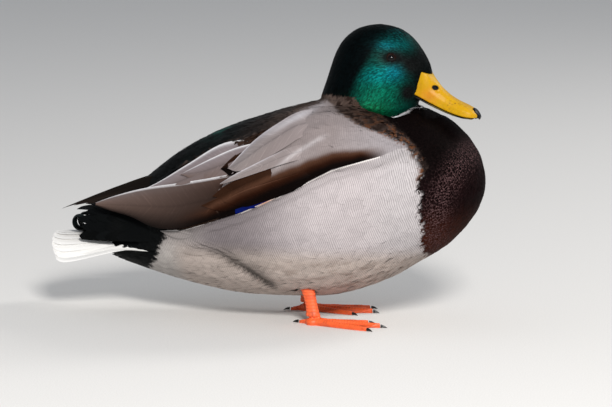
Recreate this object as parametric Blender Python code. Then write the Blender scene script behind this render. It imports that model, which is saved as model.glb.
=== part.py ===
"""A life-size mallard drake, standing low with its neck drawn in.

Every body part is one closed solid in its own named object.  Sizes are in millimetres and are
turned into metres when a mesh is made.  X points forward, Y to the bird's left and Z up; the
soles of the feet are at z = 0.  The origin is under the middle of the bird's bounding box.
"""

import math

import bmesh
import bpy

MM = 0.001
GAP = 0.35  # clearance between two parts that touch
CUT_OUT = 16.0  # how far a cutter reaches out past the surface it opens

# Driving sizes, in mm.
BREAST_X = 145.0
TAIL_TIP_X = -212.0
CULMEN_PITCH = math.radians(19)  # how far the bill points down
BILL_LENGTH = 49.6
EYE_RADIUS = 5.0
TARSUS_Y = 32.0
FOOT_X = {"right": 15.0, "left": -8.0}  # the left foot stands a little behind
MIDDLE_TOE = 55.0
TAIL_ROOT_X = -121.0
TAIL_HALF_WIDTHS = (31.0, 41.0)  # at the root and at the tips
TAIL_FEATHERS_PER_SIDE = 5

# Trunk hoops from the breast's front to the end of the tail coverts:
# x, height of the widest line, half width, reach above it, reach below it.
TRUNK_HOOPS = (
    (145.0, 112, 0.0, 0.0, 0.0),
    (141.0, 113, 25.0, 19.0, 18.0),
    (130.0, 113, 43.5, 36.5, 35.0),
    (115.0, 113, 55.0, 50.0, 50.5),
    (98.0, 112, 63.0, 59.0, 60.0),
    (73.0, 109, 69.5, 65.5, 72.5),
    (50.0, 106, 72.5, 69.5, 79.0),
    (26.0, 101, 73.0, 75.5, 81.0),
    (0.0, 95, 71.5, 78.5, 76.5),
    (-34.0, 85, 66.5, 78.0, 67.0),
    (-58.0, 78, 60.5, 77.0, 58.5),
    (-82.0, 72, 52.5, 72.5, 48.5),
    (-107.0, 68, 42.5, 62.0, 39.5),
    (-131.0, 65, 31.5, 46.0, 30.5),
    (-150.0, 64, 24.5, 32.5, 24.0),
    (-168.0, 63.0, 19.0, 22.5, 17.5),
    (-184.0, 61.5, 12.0, 14.5, 10.0),
    (-194.0, 61.0, 0.0, 0.0, 0.0),
)

# Head and neck hoops from the hidden base of the neck to the crown:
# z, x of the back edge, x of the front edge, half width.
HEAD_HOOPS = (
    (146.0, 26.0, 78.0, 30.0),
    (160.0, 15.0, 88.0, 33.5),
    (173.0, 12.5, 90.0, 30.0),
    (184.0, 15.0, 95.5, 27.4),
    (194.0, 18.5, 100.5, 26.2),
    (203.0, 21.3, 102.8, 25.2),
    (213.0, 24.8, 98.2, 23.2),
    (222.0, 29.6, 92.2, 20.2),
    (229.0, 36.2, 85.4, 16.0),
    (234.8, 46.0, 75.5, 9.2),
    (237.2, 60.0, 62.0, 0.4),
)
# Planes across the bird that part one region from the next, each by two points in x and z.
NECK_LINE = ((20.0, 199.0), (97.0, 180.5))
BREAST_LINE = ((108.0, 60.0), (108.0, 160.0))
RUMP_LINE = ((-134.0, 30.0), (-60.0, 130.0))

# Folded wing, right side: x, upper edge (y, z), lower edge (y, z), bulge between them, thickness.
WING_ROWS = (
    (88.0, (-44, 157), (-61, 137.5), 2, 3),
    (77.0, (-36, 166), (-66.5, 135), 7, 7),
    (60.0, (-32, 170), (-71, 133.5), 11, 9),
    (35.0, (-30, 172.5), (-75, 128), 15, 9),
    (10.0, (-25, 172.5), (-75, 113), 18, 9),
    (-15.0, (-24, 166), (-73, 101), 17, 9),
    (-40.0, (-27, 156), (-69, 91.5), 14, 8),
    (-65.0, (-30, 143.5), (-63, 82.5), 10, 7),
    (-90.0, (-31.5, 126), (-55.5, 74.5), 6.5, 5),
    (-115.0, (-31, 108.8), (-46.5, 77), 3.5, 3),
    (-140.0, (-29.5, 98), (-38, 83.5), 1.5, 2),
    (-165.5, (-27.6, 89.5), (-28.6, 88), 0, 1.2),
)
# Scapular shield over the wing, in the same form; its outer face stands proud of the wing's.
SCAPULAR_ROWS = (
    (92.0, (-47, 154.5), (-61.5, 139.5), 2.5, 2),
    (80.0, (-36.5, 167), (-67.5, 136.5), 7.5, 3),
    (60.0, (-32.5, 172), (-72.5, 134.5), 11.5, 3.5),
    (35.0, (-31, 174.5), (-76.5, 129), 15.5, 4),
    (15.0, (-33, 174), (-77, 118), 16.5, 4),
    (-5.0, (-43, 166), (-75.5, 108.5), 12, 4),
    (-20.0, (-54, 151), (-74, 109), 7, 3.5),
    (-35.0, (-64, 133.5), (-71.5, 113), 2, 2.5),
    (-47.5, (-68.2, 116.3), (-68.8, 115), 0, 1.5),
)
# Primaries' blade, from under the wing to the crossed tips over the tail.
PRIMARY_ROWS = (
    (-84.0, (-30, 131), (-41, 121), 0.5, 1.6),
    (-102.0, (-21.5, 126.5), (-34.5, 114), 0.5, 1.6),
    (-120.0, (-17, 118), (-30, 106), 0.5, 1.5),
    (-145.0, (-14, 107.5), (-27, 95), 0.4, 1.3),
    (-170.0, (-12, 98), (-22, 89), 0.3, 1.2),
    (-190.0, (-12, 89.5), (-17, 85), 0.1, 1.1),
    (-203.5, (-13, 83.2), (-14, 82.4), 0, 1.0),
)
# Bill, along its own axis from the gape: distance, half width, height of the ridge, drop of the edge.
BILL_ROWS = (
    (-9.0, 9.0, 17.0, 0.4),
    (0.0, 10.6, 19.8, 1.0),
    (7.6, 10.2, 14.7, 2.2),
    (15.0, 9.6, 10.2, 3.2),
    (22.5, 9.6, 7.3, 3.9),
    (30.0, 10.5, 5.7, 4.1),
    (38.0, 11.6, 4.9, 3.5),
    (43.5, 11.0, 3.8, 2.5),
    (47.0, 8.6, 2.5, 1.7),
    (48.8, 5.4, 1.3, 1.3),
)
BILL_ORIGIN = (95.0, 183.0)  # x, z of the gape
NAIL_START = 43.0
LOWER_BILL_THICKNESS = 2.4

COLOURS = {  # base colour, roughness, metallic
    "green_head": ((0.004, 0.09, 0.055), 0.35, 0.4),
    "chestnut": ((0.045, 0.014, 0.009), 0.65, 0.0),
    "pale_grey": ((0.42, 0.40, 0.38), 0.75, 0.0),
    "wing_grey": ((0.30, 0.27, 0.24), 0.7, 0.0),
    "wing_brown": ((0.09, 0.05, 0.03), 0.65, 0.0),
    "dark_quill": ((0.03, 0.025, 0.022), 0.6, 0.0),
    "tail_white": ((0.62, 0.60, 0.57), 0.7, 0.0),
    "tail_black": ((0.006, 0.008, 0.009), 0.5, 0.0),
    "yellow_bill": ((0.72, 0.48, 0.02), 0.4, 0.0),
    "black_nail": ((0.01, 0.01, 0.012), 0.35, 0.0),
    "dark_eye": ((0.012, 0.008, 0.006), 0.05, 0.0),
    "orange_leg": ((0.80, 0.13, 0.025), 0.5, 0.0),
}


# ---------------------------------------------------------------- scene and materials


def clear_scene():
    for obj in list(bpy.data.objects):
        bpy.data.objects.remove(obj, do_unlink=True)


def material(name):
    found = bpy.data.materials.get(name)
    if found:
        return found
    colour, roughness, metallic = COLOURS[name]
    made = bpy.data.materials.new(name)
    made.use_nodes = True
    shader = made.node_tree.nodes["Principled BSDF"]
    shader.inputs["Base Color"].default_value = (*colour, 1.0)
    shader.inputs["Roughness"].default_value = roughness
    shader.inputs["Metallic"].default_value = metallic
    return made


def root_empty():
    """The empty that carries every part and puts the origin under the bird's middle."""
    duck = bpy.data.objects.new("duck", None)
    duck.location.x = -(BREAST_X + TAIL_TIP_X) / 2 * MM
    bpy.context.scene.collection.objects.link(duck)
    return duck


# ---------------------------------------------------------------- meshes


def mesh_object(name, points, faces, finish, duck):
    """A part from points in mm and faces, with its normals turned outward."""
    mesh = bpy.data.meshes.new(name)
    mesh.from_pydata([tuple(c * MM for c in p) for p in points], [], faces)
    work = bmesh.new()
    work.from_mesh(mesh)
    bmesh.ops.remove_doubles(work, verts=work.verts, dist=0.01 * MM)
    bmesh.ops.recalc_face_normals(work, faces=work.faces)
    if work.calc_volume(signed=True) < 0:
        bmesh.ops.reverse_faces(work, faces=work.faces)
    work.to_mesh(mesh)
    work.free()
    mesh.shade_smooth()
    mesh.set_sharp_from_angle(angle=math.radians(50))
    mesh.materials.append(material(finish))
    obj = bpy.data.objects.new(name, mesh)
    obj.parent = duck
    bpy.context.scene.collection.objects.link(obj)
    return obj


def as_cutter(obj):
    obj.hide_render = True
    obj.display_type = "WIRE"
    return obj


def boolean(obj, other, operation="DIFFERENCE"):
    modifier = obj.modifiers.new(operation.title() + "_" + other.name, "BOOLEAN")
    modifier.operation = operation
    modifier.object = other
    modifier.solver = "EXACT"


def tube_faces(rings, sides):
    """Quads round each pair of rings, and a fan or a cap at both ends."""
    faces = []
    for ring in range(rings - 1):
        for side in range(sides):
            after = (side + 1) % sides
            a, b = ring * sides, (ring + 1) * sides
            faces.append((a + side, a + after, b + after, b + side))
    last = (rings - 1) * sides
    faces.append(tuple(reversed(range(sides))))
    faces.append(tuple(range(last, last + sides)))
    return faces


def smooth_rows(rows, count):
    """Rows of numbers (or of pairs) read at even steps of a Catmull-Rom curve through them."""

    def blend(values, t):
        if isinstance(values[0], tuple):
            return tuple(blend(pair, t) for pair in zip(*values))
        a, b, c, d = values
        return 0.5 * (
            2 * b + (c - a) * t + (2 * a - 5 * b + 4 * c - d) * t * t + (3 * b - a - 3 * c + d) * t**3
        )

    result = []
    spans = len(rows) - 1
    for step in range(count + 1):
        place = step / count * spans
        index = min(int(place), spans - 1)
        t = place - index
        four = [rows[max(0, min(spans, index + k))] for k in (-1, 0, 1, 2)]
        result.append(tuple(blend(values, t) for values in zip(*four)))
    return result


def read_rows(rows, x):
    """One row at x, blended from the two rows beside it."""
    for first, second in zip(rows, rows[1:]):
        if min(first[0], second[0]) <= x <= max(first[0], second[0]) and first[0] != second[0]:
            t = (first[0] - x) / (first[0] - second[0])
            return [a + (b - a) * t for a, b in zip(first, second)]
    return list(min((rows[0], rows[-1]), key=lambda row: abs(row[0] - x)))


# ---------------------------------------------------------------- trunk


def power(value, exponent):
    return math.copysign(abs(value) ** exponent, value)


def trunk_mesh(name, duck, grow=0.0, finish="pale_grey"):
    sides, fullness = 24, 2 / 2.12
    points = []
    rows = smooth_rows(TRUNK_HOOPS, 24)
    for number, (x, middle, half_width, above, below) in enumerate(rows):
        if number in (0, len(rows) - 1):
            half_width = above = below = 0.02
            x += grow if number == 0 else -grow
        for side in range(sides):
            angle = 2 * math.pi * side / sides
            reach = above if math.sin(angle) > 0 else below
            points.append((
                x,
                (half_width + grow) * power(math.cos(angle), fullness),
                middle + (reach + grow) * power(math.sin(angle), fullness),
            ))
    return mesh_object(name, points, tube_faces(len(rows), sides), finish, duck)


def half_space(name, duck, first, second, side):
    """A block on one side of the plane that stands on the line from first to second, in x and z."""
    length = math.hypot(second[0] - first[0], second[1] - first[1])
    along = ((second[0] - first[0]) / length, (second[1] - first[1]) / length)
    away = (-along[1] * side, along[0] * side)
    corners = []
    for reach, step in ((-250.0, GAP / 2), (250.0, GAP / 2), (250.0, 300.0), (-250.0, 300.0)):
        corners.append((
            first[0] + along[0] * reach + away[0] * step, first[1] + along[1] * reach + away[1] * step
        ))
    points = [(x, y, z) for y in (-90.0, 90.0) for x, z in corners]
    faces = [(0, 1, 2, 3), (7, 6, 5, 4), (0, 4, 5, 1), (1, 5, 6, 2), (2, 6, 7, 3), (3, 7, 4, 0)]
    return as_cutter(mesh_object(name, points, faces, "pale_grey", duck))


def make_body(duck):
    """Breast, trunk and rump: one form, parted where the plumage changes."""
    breast = trunk_mesh("breast", duck, finish="chestnut")
    trunk = trunk_mesh("trunk", duck)
    rump = trunk_mesh("rump", duck, finish="tail_black")
    boolean(breast, half_space("before_breast_line", duck, *BREAST_LINE, -1), "INTERSECT")
    boolean(trunk, half_space("behind_breast_line", duck, *BREAST_LINE, 1), "INTERSECT")
    boolean(trunk, half_space("before_rump_line", duck, *RUMP_LINE, -1), "INTERSECT")
    boolean(rump, half_space("behind_rump_line", duck, *RUMP_LINE, 1), "INTERSECT")
    return trunk, rump


# ---------------------------------------------------------------- head and neck


def head_mesh(name, duck, grow=0.0):
    sides = 22
    points = []
    rows = smooth_rows(HEAD_HOOPS, 16)
    for z, back, front, half_width in rows:
        centre = back + 0.46 * (front - back)
        for side in range(sides):
            angle = 2 * math.pi * side / sides
            reach = front - centre if math.cos(angle) > 0 else centre - back
            # The face narrows towards the bill, and the nape stays round.
            narrow = 1 - 0.16 * max(0.0, math.cos(angle)) ** 1.5
            points.append((
                centre + (reach + grow) * math.cos(angle),
                (half_width + grow) * math.sin(angle) * narrow,
                z,
            ))
    return mesh_object(name, points, tube_faces(len(rows), sides), "green_head", duck)


def make_head_and_neck(duck):
    head = head_mesh("head", duck)
    neck = head_mesh("neck", duck)
    boolean(head, half_space("above_neck_line", duck, *NECK_LINE, 1), "INTERSECT")
    boolean(neck, half_space("below_neck_line", duck, *NECK_LINE, -1), "INTERSECT")
    trunk_cutter = as_cutter(trunk_mesh("trunk_cutter", duck, grow=GAP))
    for obj in (head, neck):
        boolean(obj, trunk_cutter)
    return head, neck


# ---------------------------------------------------------------- bill and eyes

FINE_BILL = smooth_rows(BILL_ROWS, 40)


def bill_point(along, y, up):
    """From the bill's own axes (along it, across it, square to it) to the bird's."""
    x, z = BILL_ORIGIN
    c, s = math.cos(CULMEN_PITCH), math.sin(CULMEN_PITCH)
    return (x + along * c + up * s, y, z - along * s + up * c)


def bill_ring(along, half_width, ridge, drop, sides, grow):
    """A ring across the upper bill, arched above and nearly flat below."""
    flat = min(1.0, max(0.0, along / 40.0))
    squareness = 0.95 - 0.32 * flat
    ring = []
    for side in range(sides):
        angle = 2 * math.pi * side / sides
        across = (half_width + grow) * power(math.cos(angle), 0.8)
        rise = math.sin(angle)
        if rise > 0:
            up = -drop + (ridge + drop + grow) * rise**squareness
        else:
            up = -drop - (0.5 + grow) * abs(rise) ** 0.6
        ring.append(bill_point(along, across, up))
    return ring


def upper_bill_mesh(name, duck, grow=0.0):
    sides, steps, start, end = 16, 11, -6.0, 48.8
    points = []
    for step in range(steps + 1):
        share = step / steps
        along = start + (end - start) * (1 - (1 - share) ** 1.5)
        _, half_width, ridge, drop = read_rows(FINE_BILL, along)
        if step == 0:
            along -= grow
        points += bill_ring(along, half_width, ridge, drop, sides, grow)
    return mesh_object(name, points, tube_faces(steps + 1, sides), "yellow_bill", duck)


def nail_mesh(name, duck, grow=0.0):
    """The black nail, a small hooked shield that caps the end of the upper bill."""
    sides, steps = 12, 5
    points = []
    for step in range(steps + 1):
        share = step / steps
        along = NAIL_START + (BILL_LENGTH + 0.9 - NAIL_START) * share
        half_width = 5.2 * math.sqrt(max(0.0, 1 - (2 * share - 1) ** 2 * 0.75))
        top = 4.7 - 4.4 * share**1.7
        bottom = -2.9 * share**2 + 1.0 * (1 - share)
        middle, reach = (top + bottom) / 2, (top - bottom) / 2
        for side in range(sides):
            angle = 2 * math.pi * side / sides
            points.append(bill_point(
                along + (grow if step == steps else -grow if step == 0 else 0.0),
                (half_width + grow) * math.cos(angle),
                middle + (reach + grow) * math.sin(angle),
            ))
    return mesh_object(name, points, tube_faces(steps + 1, sides), "black_nail", duck)


def lower_bill_mesh(name, duck, grow=0.0):
    """The flat lower mandible, a little narrower and shorter than the upper."""
    sides, steps = 10, 7
    points = []
    for step in range(steps + 1):
        share = step / steps
        along = -7.0 + 53.0 * share
        _, half_width, _, drop = read_rows(FINE_BILL, along)
        top = -drop - 0.5 - GAP
        bottom = top - LOWER_BILL_THICKNESS * (1 - 0.55 * share)
        if step == 0:
            along -= grow
        for side in range(sides):
            angle = 2 * math.pi * side / sides
            points.append(bill_point(
                along,
                (half_width * 0.86 + grow) * power(math.cos(angle), 0.7),
                (top + bottom) / 2 + ((top - bottom) / 2 + grow) * power(math.sin(angle), 0.7),
            ))
    return mesh_object(name, points, tube_faces(steps + 1, sides), "yellow_bill", duck)


def ball_mesh(name, duck, centre, radii, finish, sides=10, rings=8):
    """A closed ellipsoid with its poles on the Y axis."""
    points = []
    for ring in range(rings + 1):
        polar = math.pi * ring / rings
        around = max(math.sin(polar), 1e-3)
        for side in range(sides):
            angle = 2 * math.pi * side / sides
            points.append((
                centre[0] + radii[0] * around * math.cos(angle),
                centre[1] + radii[1] * math.cos(polar),
                centre[2] + radii[2] * around * math.sin(angle),
            ))
    return mesh_object(name, points, tube_faces(rings + 1, sides), finish, duck)


def make_bill(duck, head, neck):
    bill = upper_bill_mesh("bill_upper", duck)
    nail = nail_mesh("bill_nail", duck)
    boolean(bill, as_cutter(nail_mesh("nail_cutter", duck, grow=GAP)))
    lower = lower_bill_mesh("bill_lower", duck)
    boolean(lower, bpy.data.objects["nail_cutter"])
    socket = as_cutter(upper_bill_mesh("bill_socket", duck, grow=GAP))
    lower_socket = as_cutter(lower_bill_mesh("lower_bill_socket", duck, grow=GAP))
    for cutter in (socket, lower_socket):
        boolean(head, cutter)
        boolean(neck, cutter)
    # Nostrils: one pit on each side of the ridge.
    for sign in (-1, 1):
        x, _, z = bill_point(13.6, 0, 8.2)
        radii = (3.0, 2.4, 1.5)
        pit = ball_mesh(f"nostril_cutter_{sign}", duck, (x, sign * 8.2, z), radii, "black_nail", 8, 4)
        boolean(bill, as_cutter(pit))
    return nail


def make_eyes(duck, head):
    for side, sign in (("right", -1), ("left", 1)):
        centre = (74.5, sign * 16.8, 212.2)
        size = (EYE_RADIUS,) * 3
        ball_mesh(f"eye_{side}", duck, centre, size, "dark_eye")
        socket = ball_mesh(f"eye_socket_{side}", duck, centre, (EYE_RADIUS + GAP,) * 3, "dark_eye")
        boolean(head, as_cutter(socket))


# ---------------------------------------------------------------- wings and flanks


def strip_mesh(name, duck, sections, sign, finish):
    """A curved slab: each section is (x, outer points, inner points) in y and z, right side first."""
    across = len(sections[0][1])
    ring = 2 * across
    points = []
    for x, outer, inner in sections:
        for y, z in outer + inner[::-1]:
            points.append((x, -sign * y, z))
    return mesh_object(name, points, tube_faces(len(sections), ring), finish, duck)


def panel_mesh(name, duck, rows, sign, finish, steps, grow=0.0, outward=0.0, across=5):
    """A blade between two edges, bulging between them.  A cutter has grow and outward set."""
    fine = smooth_rows(rows, steps)
    sections = []
    for x, upper, lower, bulge, thickness in fine:
        dy, dz = lower[0] - upper[0], lower[1] - upper[1]
        length = math.hypot(dy, dz)
        dy, dz = dy / length, dz / length
        normal_y, normal_z = dz, -dy
        outer, inner = [], []
        for k in range(across):
            s = k / (across - 1)
            along = -grow + (length + 2 * grow) * s
            rise = 4 * bulge * s * (1 - s)
            # Thin edges, full thickness in the middle.
            depth = thickness * (0.35 + 0.65 * (1 - (2 * s - 1) ** 4)) + grow
            for found, height in ((outer, rise + outward), (inner, rise - depth)):
                found.append((
                    upper[0] + dy * along + normal_y * height,
                    upper[1] + dz * along + normal_z * height,
                ))
        sections.append((x, outer, inner))
    if grow:  # a cutter runs straight on past both ends
        sections.insert(0, (sections[0][0] + grow, *sections[0][1:]))
        sections.append((sections[-1][0] - grow, *sections[-1][1:]))
    return strip_mesh(name, duck, sections, sign, finish)


def make_wings(duck, trunk, rump):
    neck_cutter = as_cutter(head_mesh("neck_cutter", duck, grow=GAP))
    for side, sign in (("right", -1), ("left", 1)):
        wing = panel_mesh(f"wing_{side}", duck, WING_ROWS, sign, "wing_brown", 16)
        shield = panel_mesh(f"scapulars_{side}", duck, SCAPULAR_ROWS, sign, "wing_grey", 13)
        blade = panel_mesh(
            f"primaries_{side}", duck, PRIMARY_ROWS, sign, "dark_quill", 9, across=3
        )
        wing_cutter = as_cutter(panel_mesh(
            f"wing_cutter_{side}", duck, WING_ROWS, sign, "wing_brown", 16, GAP, CUT_OUT
        ))
        shield_cutter = as_cutter(panel_mesh(
            f"shield_cutter_{side}", duck, SCAPULAR_ROWS, sign, "wing_grey", 13, 1.6 * GAP, CUT_OUT
        ))
        blade_cutter = as_cutter(panel_mesh(
            f"primary_cutter_{side}", duck, PRIMARY_ROWS, sign, "dark_quill", 9, GAP, GAP, 3
        ))
        boolean(wing, shield_cutter)
        boolean(blade, wing_cutter)
        boolean(wing, neck_cutter)
        boolean(shield, neck_cutter)
        boolean(trunk, wing_cutter)
        boolean(trunk, shield_cutter)
        boolean(rump, wing_cutter)
        boolean(rump, blade_cutter)


# ---------------------------------------------------------------- tail


def tail_mesh(name, duck, grow=0.0):
    """The closed tail: a roof-shaped slab whose rear edge is cut into feather tips."""
    steps_out, steps_round = 3, 6 * TAIL_FEATHERS_PER_SIDE
    root_half, tip_half = TAIL_HALF_WIDTHS
    points, top_count = [], (steps_out + 1) * (steps_round + 1)
    for face in (1, -1):
        for i in range(steps_out + 1):
            for j in range(steps_round + 1):
                share = 2 * j / steps_round - 1
                notch = abs(math.sin(share * TAIL_FEATHERS_PER_SIDE * math.pi)) ** 1.5
                tip_x = TAIL_TIP_X + 14.0 * abs(share) ** 2.2 + 4.5 * notch - grow
                start_x = TAIL_ROOT_X + grow
                out = i / steps_out
                half = (1.3 - 0.75 * out) * (1 - 0.3 * share**2) + grow
                height = 62.5 - 3.0 * out - 12.5 * share**2 * (0.55 + 0.45 * out)
                points.append((
                    start_x + (tip_x - start_x) * out,
                    share * (root_half + (tip_half - root_half) * out + grow),
                    height + face * half,
                ))
    row = steps_round + 1
    faces = []
    for i in range(steps_out):
        for j in range(steps_round):
            a = i * row + j
            faces.append((a, a + 1, a + row + 1, a + row))
            faces.append(tuple(top_count + n for n in (a + row, a + row + 1, a + 1, a)))
    rim = [j for j in range(row)]
    rim += [i * row + steps_round for i in range(1, steps_out + 1)]
    rim += [steps_out * row + j for j in range(steps_round - 1, -1, -1)]
    rim += [i * row for i in range(steps_out - 1, 0, -1)]
    for a, b in zip(rim, rim[1:] + rim[:1]):
        faces.append((a, a + top_count, b + top_count, b))
    return mesh_object(name, points, faces, "tail_white", duck)


def curl_mesh(name, duck, sign, grow=0.0):
    """A curled central tail feather of the drake: back along the coverts, then up and over."""
    centre_x, centre_z, radius = -189.0, 72.4, 9.2
    width, half = 6.0, 0.6 + grow
    down = math.radians(-90)
    path = [(-164.0 + grow, centre_z - radius, down), (-176.0, centre_z - radius, down)]
    for k in range(11):
        angle = down - math.radians(24) * k
        shrink = radius * (1 - 0.035 * k)
        path.append((
            centre_x + shrink * math.cos(angle), centre_z + shrink * math.sin(angle), angle
        ))
    points = []
    for number, (x, z, angle) in enumerate(path):
        breadth = width * (1 - 0.75 * max(0, number - 8) / 4) / 2 + grow
        out_x, out_z = math.cos(angle), math.sin(angle)
        for across, depth in ((-1, -1), (1, -1), (1, 1), (-1, 1)):
            points.append((
                x + out_x * depth * half,
                sign * 6.0 + across * breadth,
                z + out_z * depth * half,
            ))
    return mesh_object(name, points, tube_faces(len(path), 4), "tail_black", duck)


def make_tail(duck, rump):
    tail_mesh("tail", duck)
    boolean(rump, as_cutter(tail_mesh("tail_cutter", duck, grow=GAP)))
    for side, sign in (("right", -1), ("left", 1)):
        curl_mesh(f"tail_curl_{side}", duck, sign)
        boolean(rump, as_cutter(curl_mesh(f"curl_cutter_{side}", duck, sign, grow=GAP)))


# ---------------------------------------------------------------- legs and feet


def leg_mesh(name, duck, side, sign, grow=0.0):
    """The scaly shank, from the ankle in the belly feathers down to the toes."""
    sides, steps = 10, 8
    foot_x = FOOT_X[side]
    rows = (  # height, x behind the foot's joint, fore-and-aft radius, sideways radius
        (7.0, 0.0, 6.0, 4.6),
        (12.0, -0.6, 4.9, 3.7),
        (20.0, -2.2, 4.9, 3.5),
        (28.0, -4.4, 5.6, 3.9),
        (34.0, -6.2, 7.0, 4.8),
        (40.0, -8.0, 7.2, 5.0),
        (46.0, -9.0, 5.4, 4.0),
    )
    points = []
    for number, (z, x, long, wide) in enumerate(smooth_rows(rows, steps)):
        z += grow if number == steps else 0.0
        for k in range(sides):
            angle = 2 * math.pi * k / sides
            points.append((
                foot_x + x + (long + grow) * math.cos(angle),
                sign * TARSUS_Y + (wide + grow) * math.sin(angle),
                z,
            ))
    return mesh_object(name, points, tube_faces(steps + 1, sides), "orange_leg", duck)


def toe_directions(sign):
    """Angle from forward, and length, of the three front toes and the hind toe."""
    inward = -sign
    return (
        (math.radians(19 * inward), 0.80 * MIDDLE_TOE, 2.5),
        (0.0, MIDDLE_TOE, 2.8),
        (math.radians(-20 * inward), 0.94 * MIDDLE_TOE, 2.6),
        (math.radians(180 - 18 * inward), 0.25 * MIDDLE_TOE, 1.9),
    )


def foot_mesh(name, duck, side, sign):
    """Toes and web as one slab in rings round the toes' joint.  The toes stand on z = 0."""
    toes = toe_directions(sign)
    fan = [math.radians(a) for a in (-27, -23, -20, -17, -11, -6, -2.5, 0, 2.5)]
    fan += [math.radians(a) for a in (6, 11, 16, 19, 22, 26)]
    hind = [math.radians(a) for a in (60, 105, 145, 154, 162, 170, 179, 220, 265, 308)]
    angles = [a * -sign for a in fan + hind]
    outline_toes = sorted((a * -sign, length) for a, length, _ in toes[:3])
    rings = 4
    joint_radius = 5.6

    def reach(angle):
        """Distance from the joint to the foot's edge this way."""
        local = angle * -sign
        local = math.atan2(math.sin(local), math.cos(local))
        best = joint_radius
        for toe_angle, length, radius in toes:
            off = math.atan2(math.sin(angle - toe_angle), math.cos(angle - toe_angle))
            if abs(off) < math.radians(7.5):
                best = max(best, length - 0.55 * length * abs(math.sin(off)) / math.sin(math.radians(7.5)))
        for (a0, l0), (a1, l1) in zip(outline_toes, outline_toes[1:]):
            if a0 <= local <= a1:
                t = (local - a0) / (a1 - a0)
                best = max(best, (l0 + (l1 - l0) * t - 3.5) * (1 - 0.34 * t * (1 - t)))
        return best

    points, top = [], []
    for face in ("top", "bottom"):
        for ring in range(1, rings + 1):
            for angle in angles:
                radius = reach(angle) * ring / rings
                x, y = radius * math.cos(angle), radius * math.sin(angle)
                ridge = 0.0
                for toe_angle, length, thick in toes:
                    along = x * math.cos(toe_angle) + y * math.sin(toe_angle)
                    aside = -x * math.sin(toe_angle) + y * math.cos(toe_angle)
                    if along > 0:
                        size = thick * (1 - 0.35 * along / length)
                        ridge = max(ridge, 2 * size * math.exp(-((aside / size) ** 2) * 0.9))
                joint = 6.4 * math.exp(-((radius / 7.0) ** 2))
                if face == "top":
                    height = max(1.3, ridge, joint)
                else:
                    height = 0.0 if max(ridge, joint) > 2.2 else 0.5
                points.append((FOOT_X[side] + x, sign * TARSUS_Y + y, height))
    count = len(angles)
    top_centre, low_centre = len(points), len(points) + 1
    points += [(FOOT_X[side], sign * TARSUS_Y, 6.5), (FOOT_X[side], sign * TARSUS_Y, 0.0)]
    faces = []
    for base, centre in ((0, top_centre), (rings * count, low_centre)):
        for k in range(count):
            after = (k + 1) % count
            faces.append((centre, base + k, base + after))
            for ring in range(rings - 1):
                a, b = base + ring * count, base + (ring + 1) * count
                faces.append((a + k, b + k, b + after, a + after))
    outer_top, outer_low = (rings - 1) * count, (2 * rings - 1) * count
    for k in range(count):
        after = (k + 1) % count
        faces.append((outer_top + k, outer_low + k, outer_low + after, outer_top + after))
    return mesh_object(name, points, faces, "orange_leg", duck)


def claw_mesh(name, duck, side, sign, toe_angle, length):
    """A short curved claw beyond a toe's tip."""
    sides, steps = 6, 3
    c, s = math.cos(toe_angle), math.sin(toe_angle)
    points = []
    for step in range(steps + 1):
        share = step / steps
        along = length + 0.5 + 5.2 * share
        radius = 1.25 * (1 - share) ** 0.7 + 0.12
        height = 1.5 + 0.3 * share - 1.55 * share**2
        for k in range(sides):
            angle = 2 * math.pi * k / sides
            aside = 0.8 * radius * math.cos(angle)
            points.append((
                FOOT_X[side] + along * c - aside * s,
                sign * TARSUS_Y + along * s + aside * c,
                max(0.0, height + radius * math.sin(angle)),
            ))
    return mesh_object(name, points, tube_faces(steps + 1, sides), "black_nail", duck)


def make_legs(duck, trunk):
    for side, sign in (("right", -1), ("left", 1)):
        leg_mesh(f"leg_{side}", duck, side, sign)
        boolean(trunk, as_cutter(leg_mesh(f"leg_cutter_{side}", duck, side, sign, grow=GAP)))
        foot_mesh(f"foot_{side}", duck, side, sign)
        for number, (angle, length, _) in enumerate(toe_directions(sign), 1):
            claw_mesh(f"claw_{side}_{number}", duck, side, sign, angle, length)


def main():
    clear_scene()
    duck = root_empty()
    trunk, rump = make_body(duck)
    head, neck = make_head_and_neck(duck)
    make_bill(duck, head, neck)
    make_eyes(duck, head)
    make_wings(duck, trunk, rump)
    make_tail(duck, rump)
    make_legs(duck, trunk)


main()
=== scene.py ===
"""Looks for a life-size mallard drake: skin, feather coat, quills, bill, eyes, legs and the studio.

Lengths here are millimetres in the bird's frame: x runs forward to the breast, y to its left,
z up from the floor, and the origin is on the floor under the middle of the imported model.
"""

import math
from dataclasses import dataclass, replace

import bpy
import numpy as np
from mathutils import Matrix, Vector
from mathutils.bvhtree import BVHTree
from mathutils.kdtree import KDTree


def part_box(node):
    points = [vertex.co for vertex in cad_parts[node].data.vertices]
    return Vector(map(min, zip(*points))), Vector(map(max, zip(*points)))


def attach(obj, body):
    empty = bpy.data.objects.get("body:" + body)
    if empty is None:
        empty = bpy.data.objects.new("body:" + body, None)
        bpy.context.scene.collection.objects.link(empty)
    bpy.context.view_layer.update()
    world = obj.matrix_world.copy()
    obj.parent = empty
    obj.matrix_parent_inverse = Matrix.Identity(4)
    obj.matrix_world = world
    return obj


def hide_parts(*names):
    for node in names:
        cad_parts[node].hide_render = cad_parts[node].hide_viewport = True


MM = 0.001
SIDES = {"right": -1.0, "left": 1.0}
FLESH = ["head", "neck", "breast", "trunk", "rump"] + [
    f"{part}_{side}" for part in ("scapulars", "wing") for side in SIDES
]
BILL_NODES = ["bill_upper", "bill_lower", "bill_nail"]
EYE_NODES = ["eye_left", "eye_right"]

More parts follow.
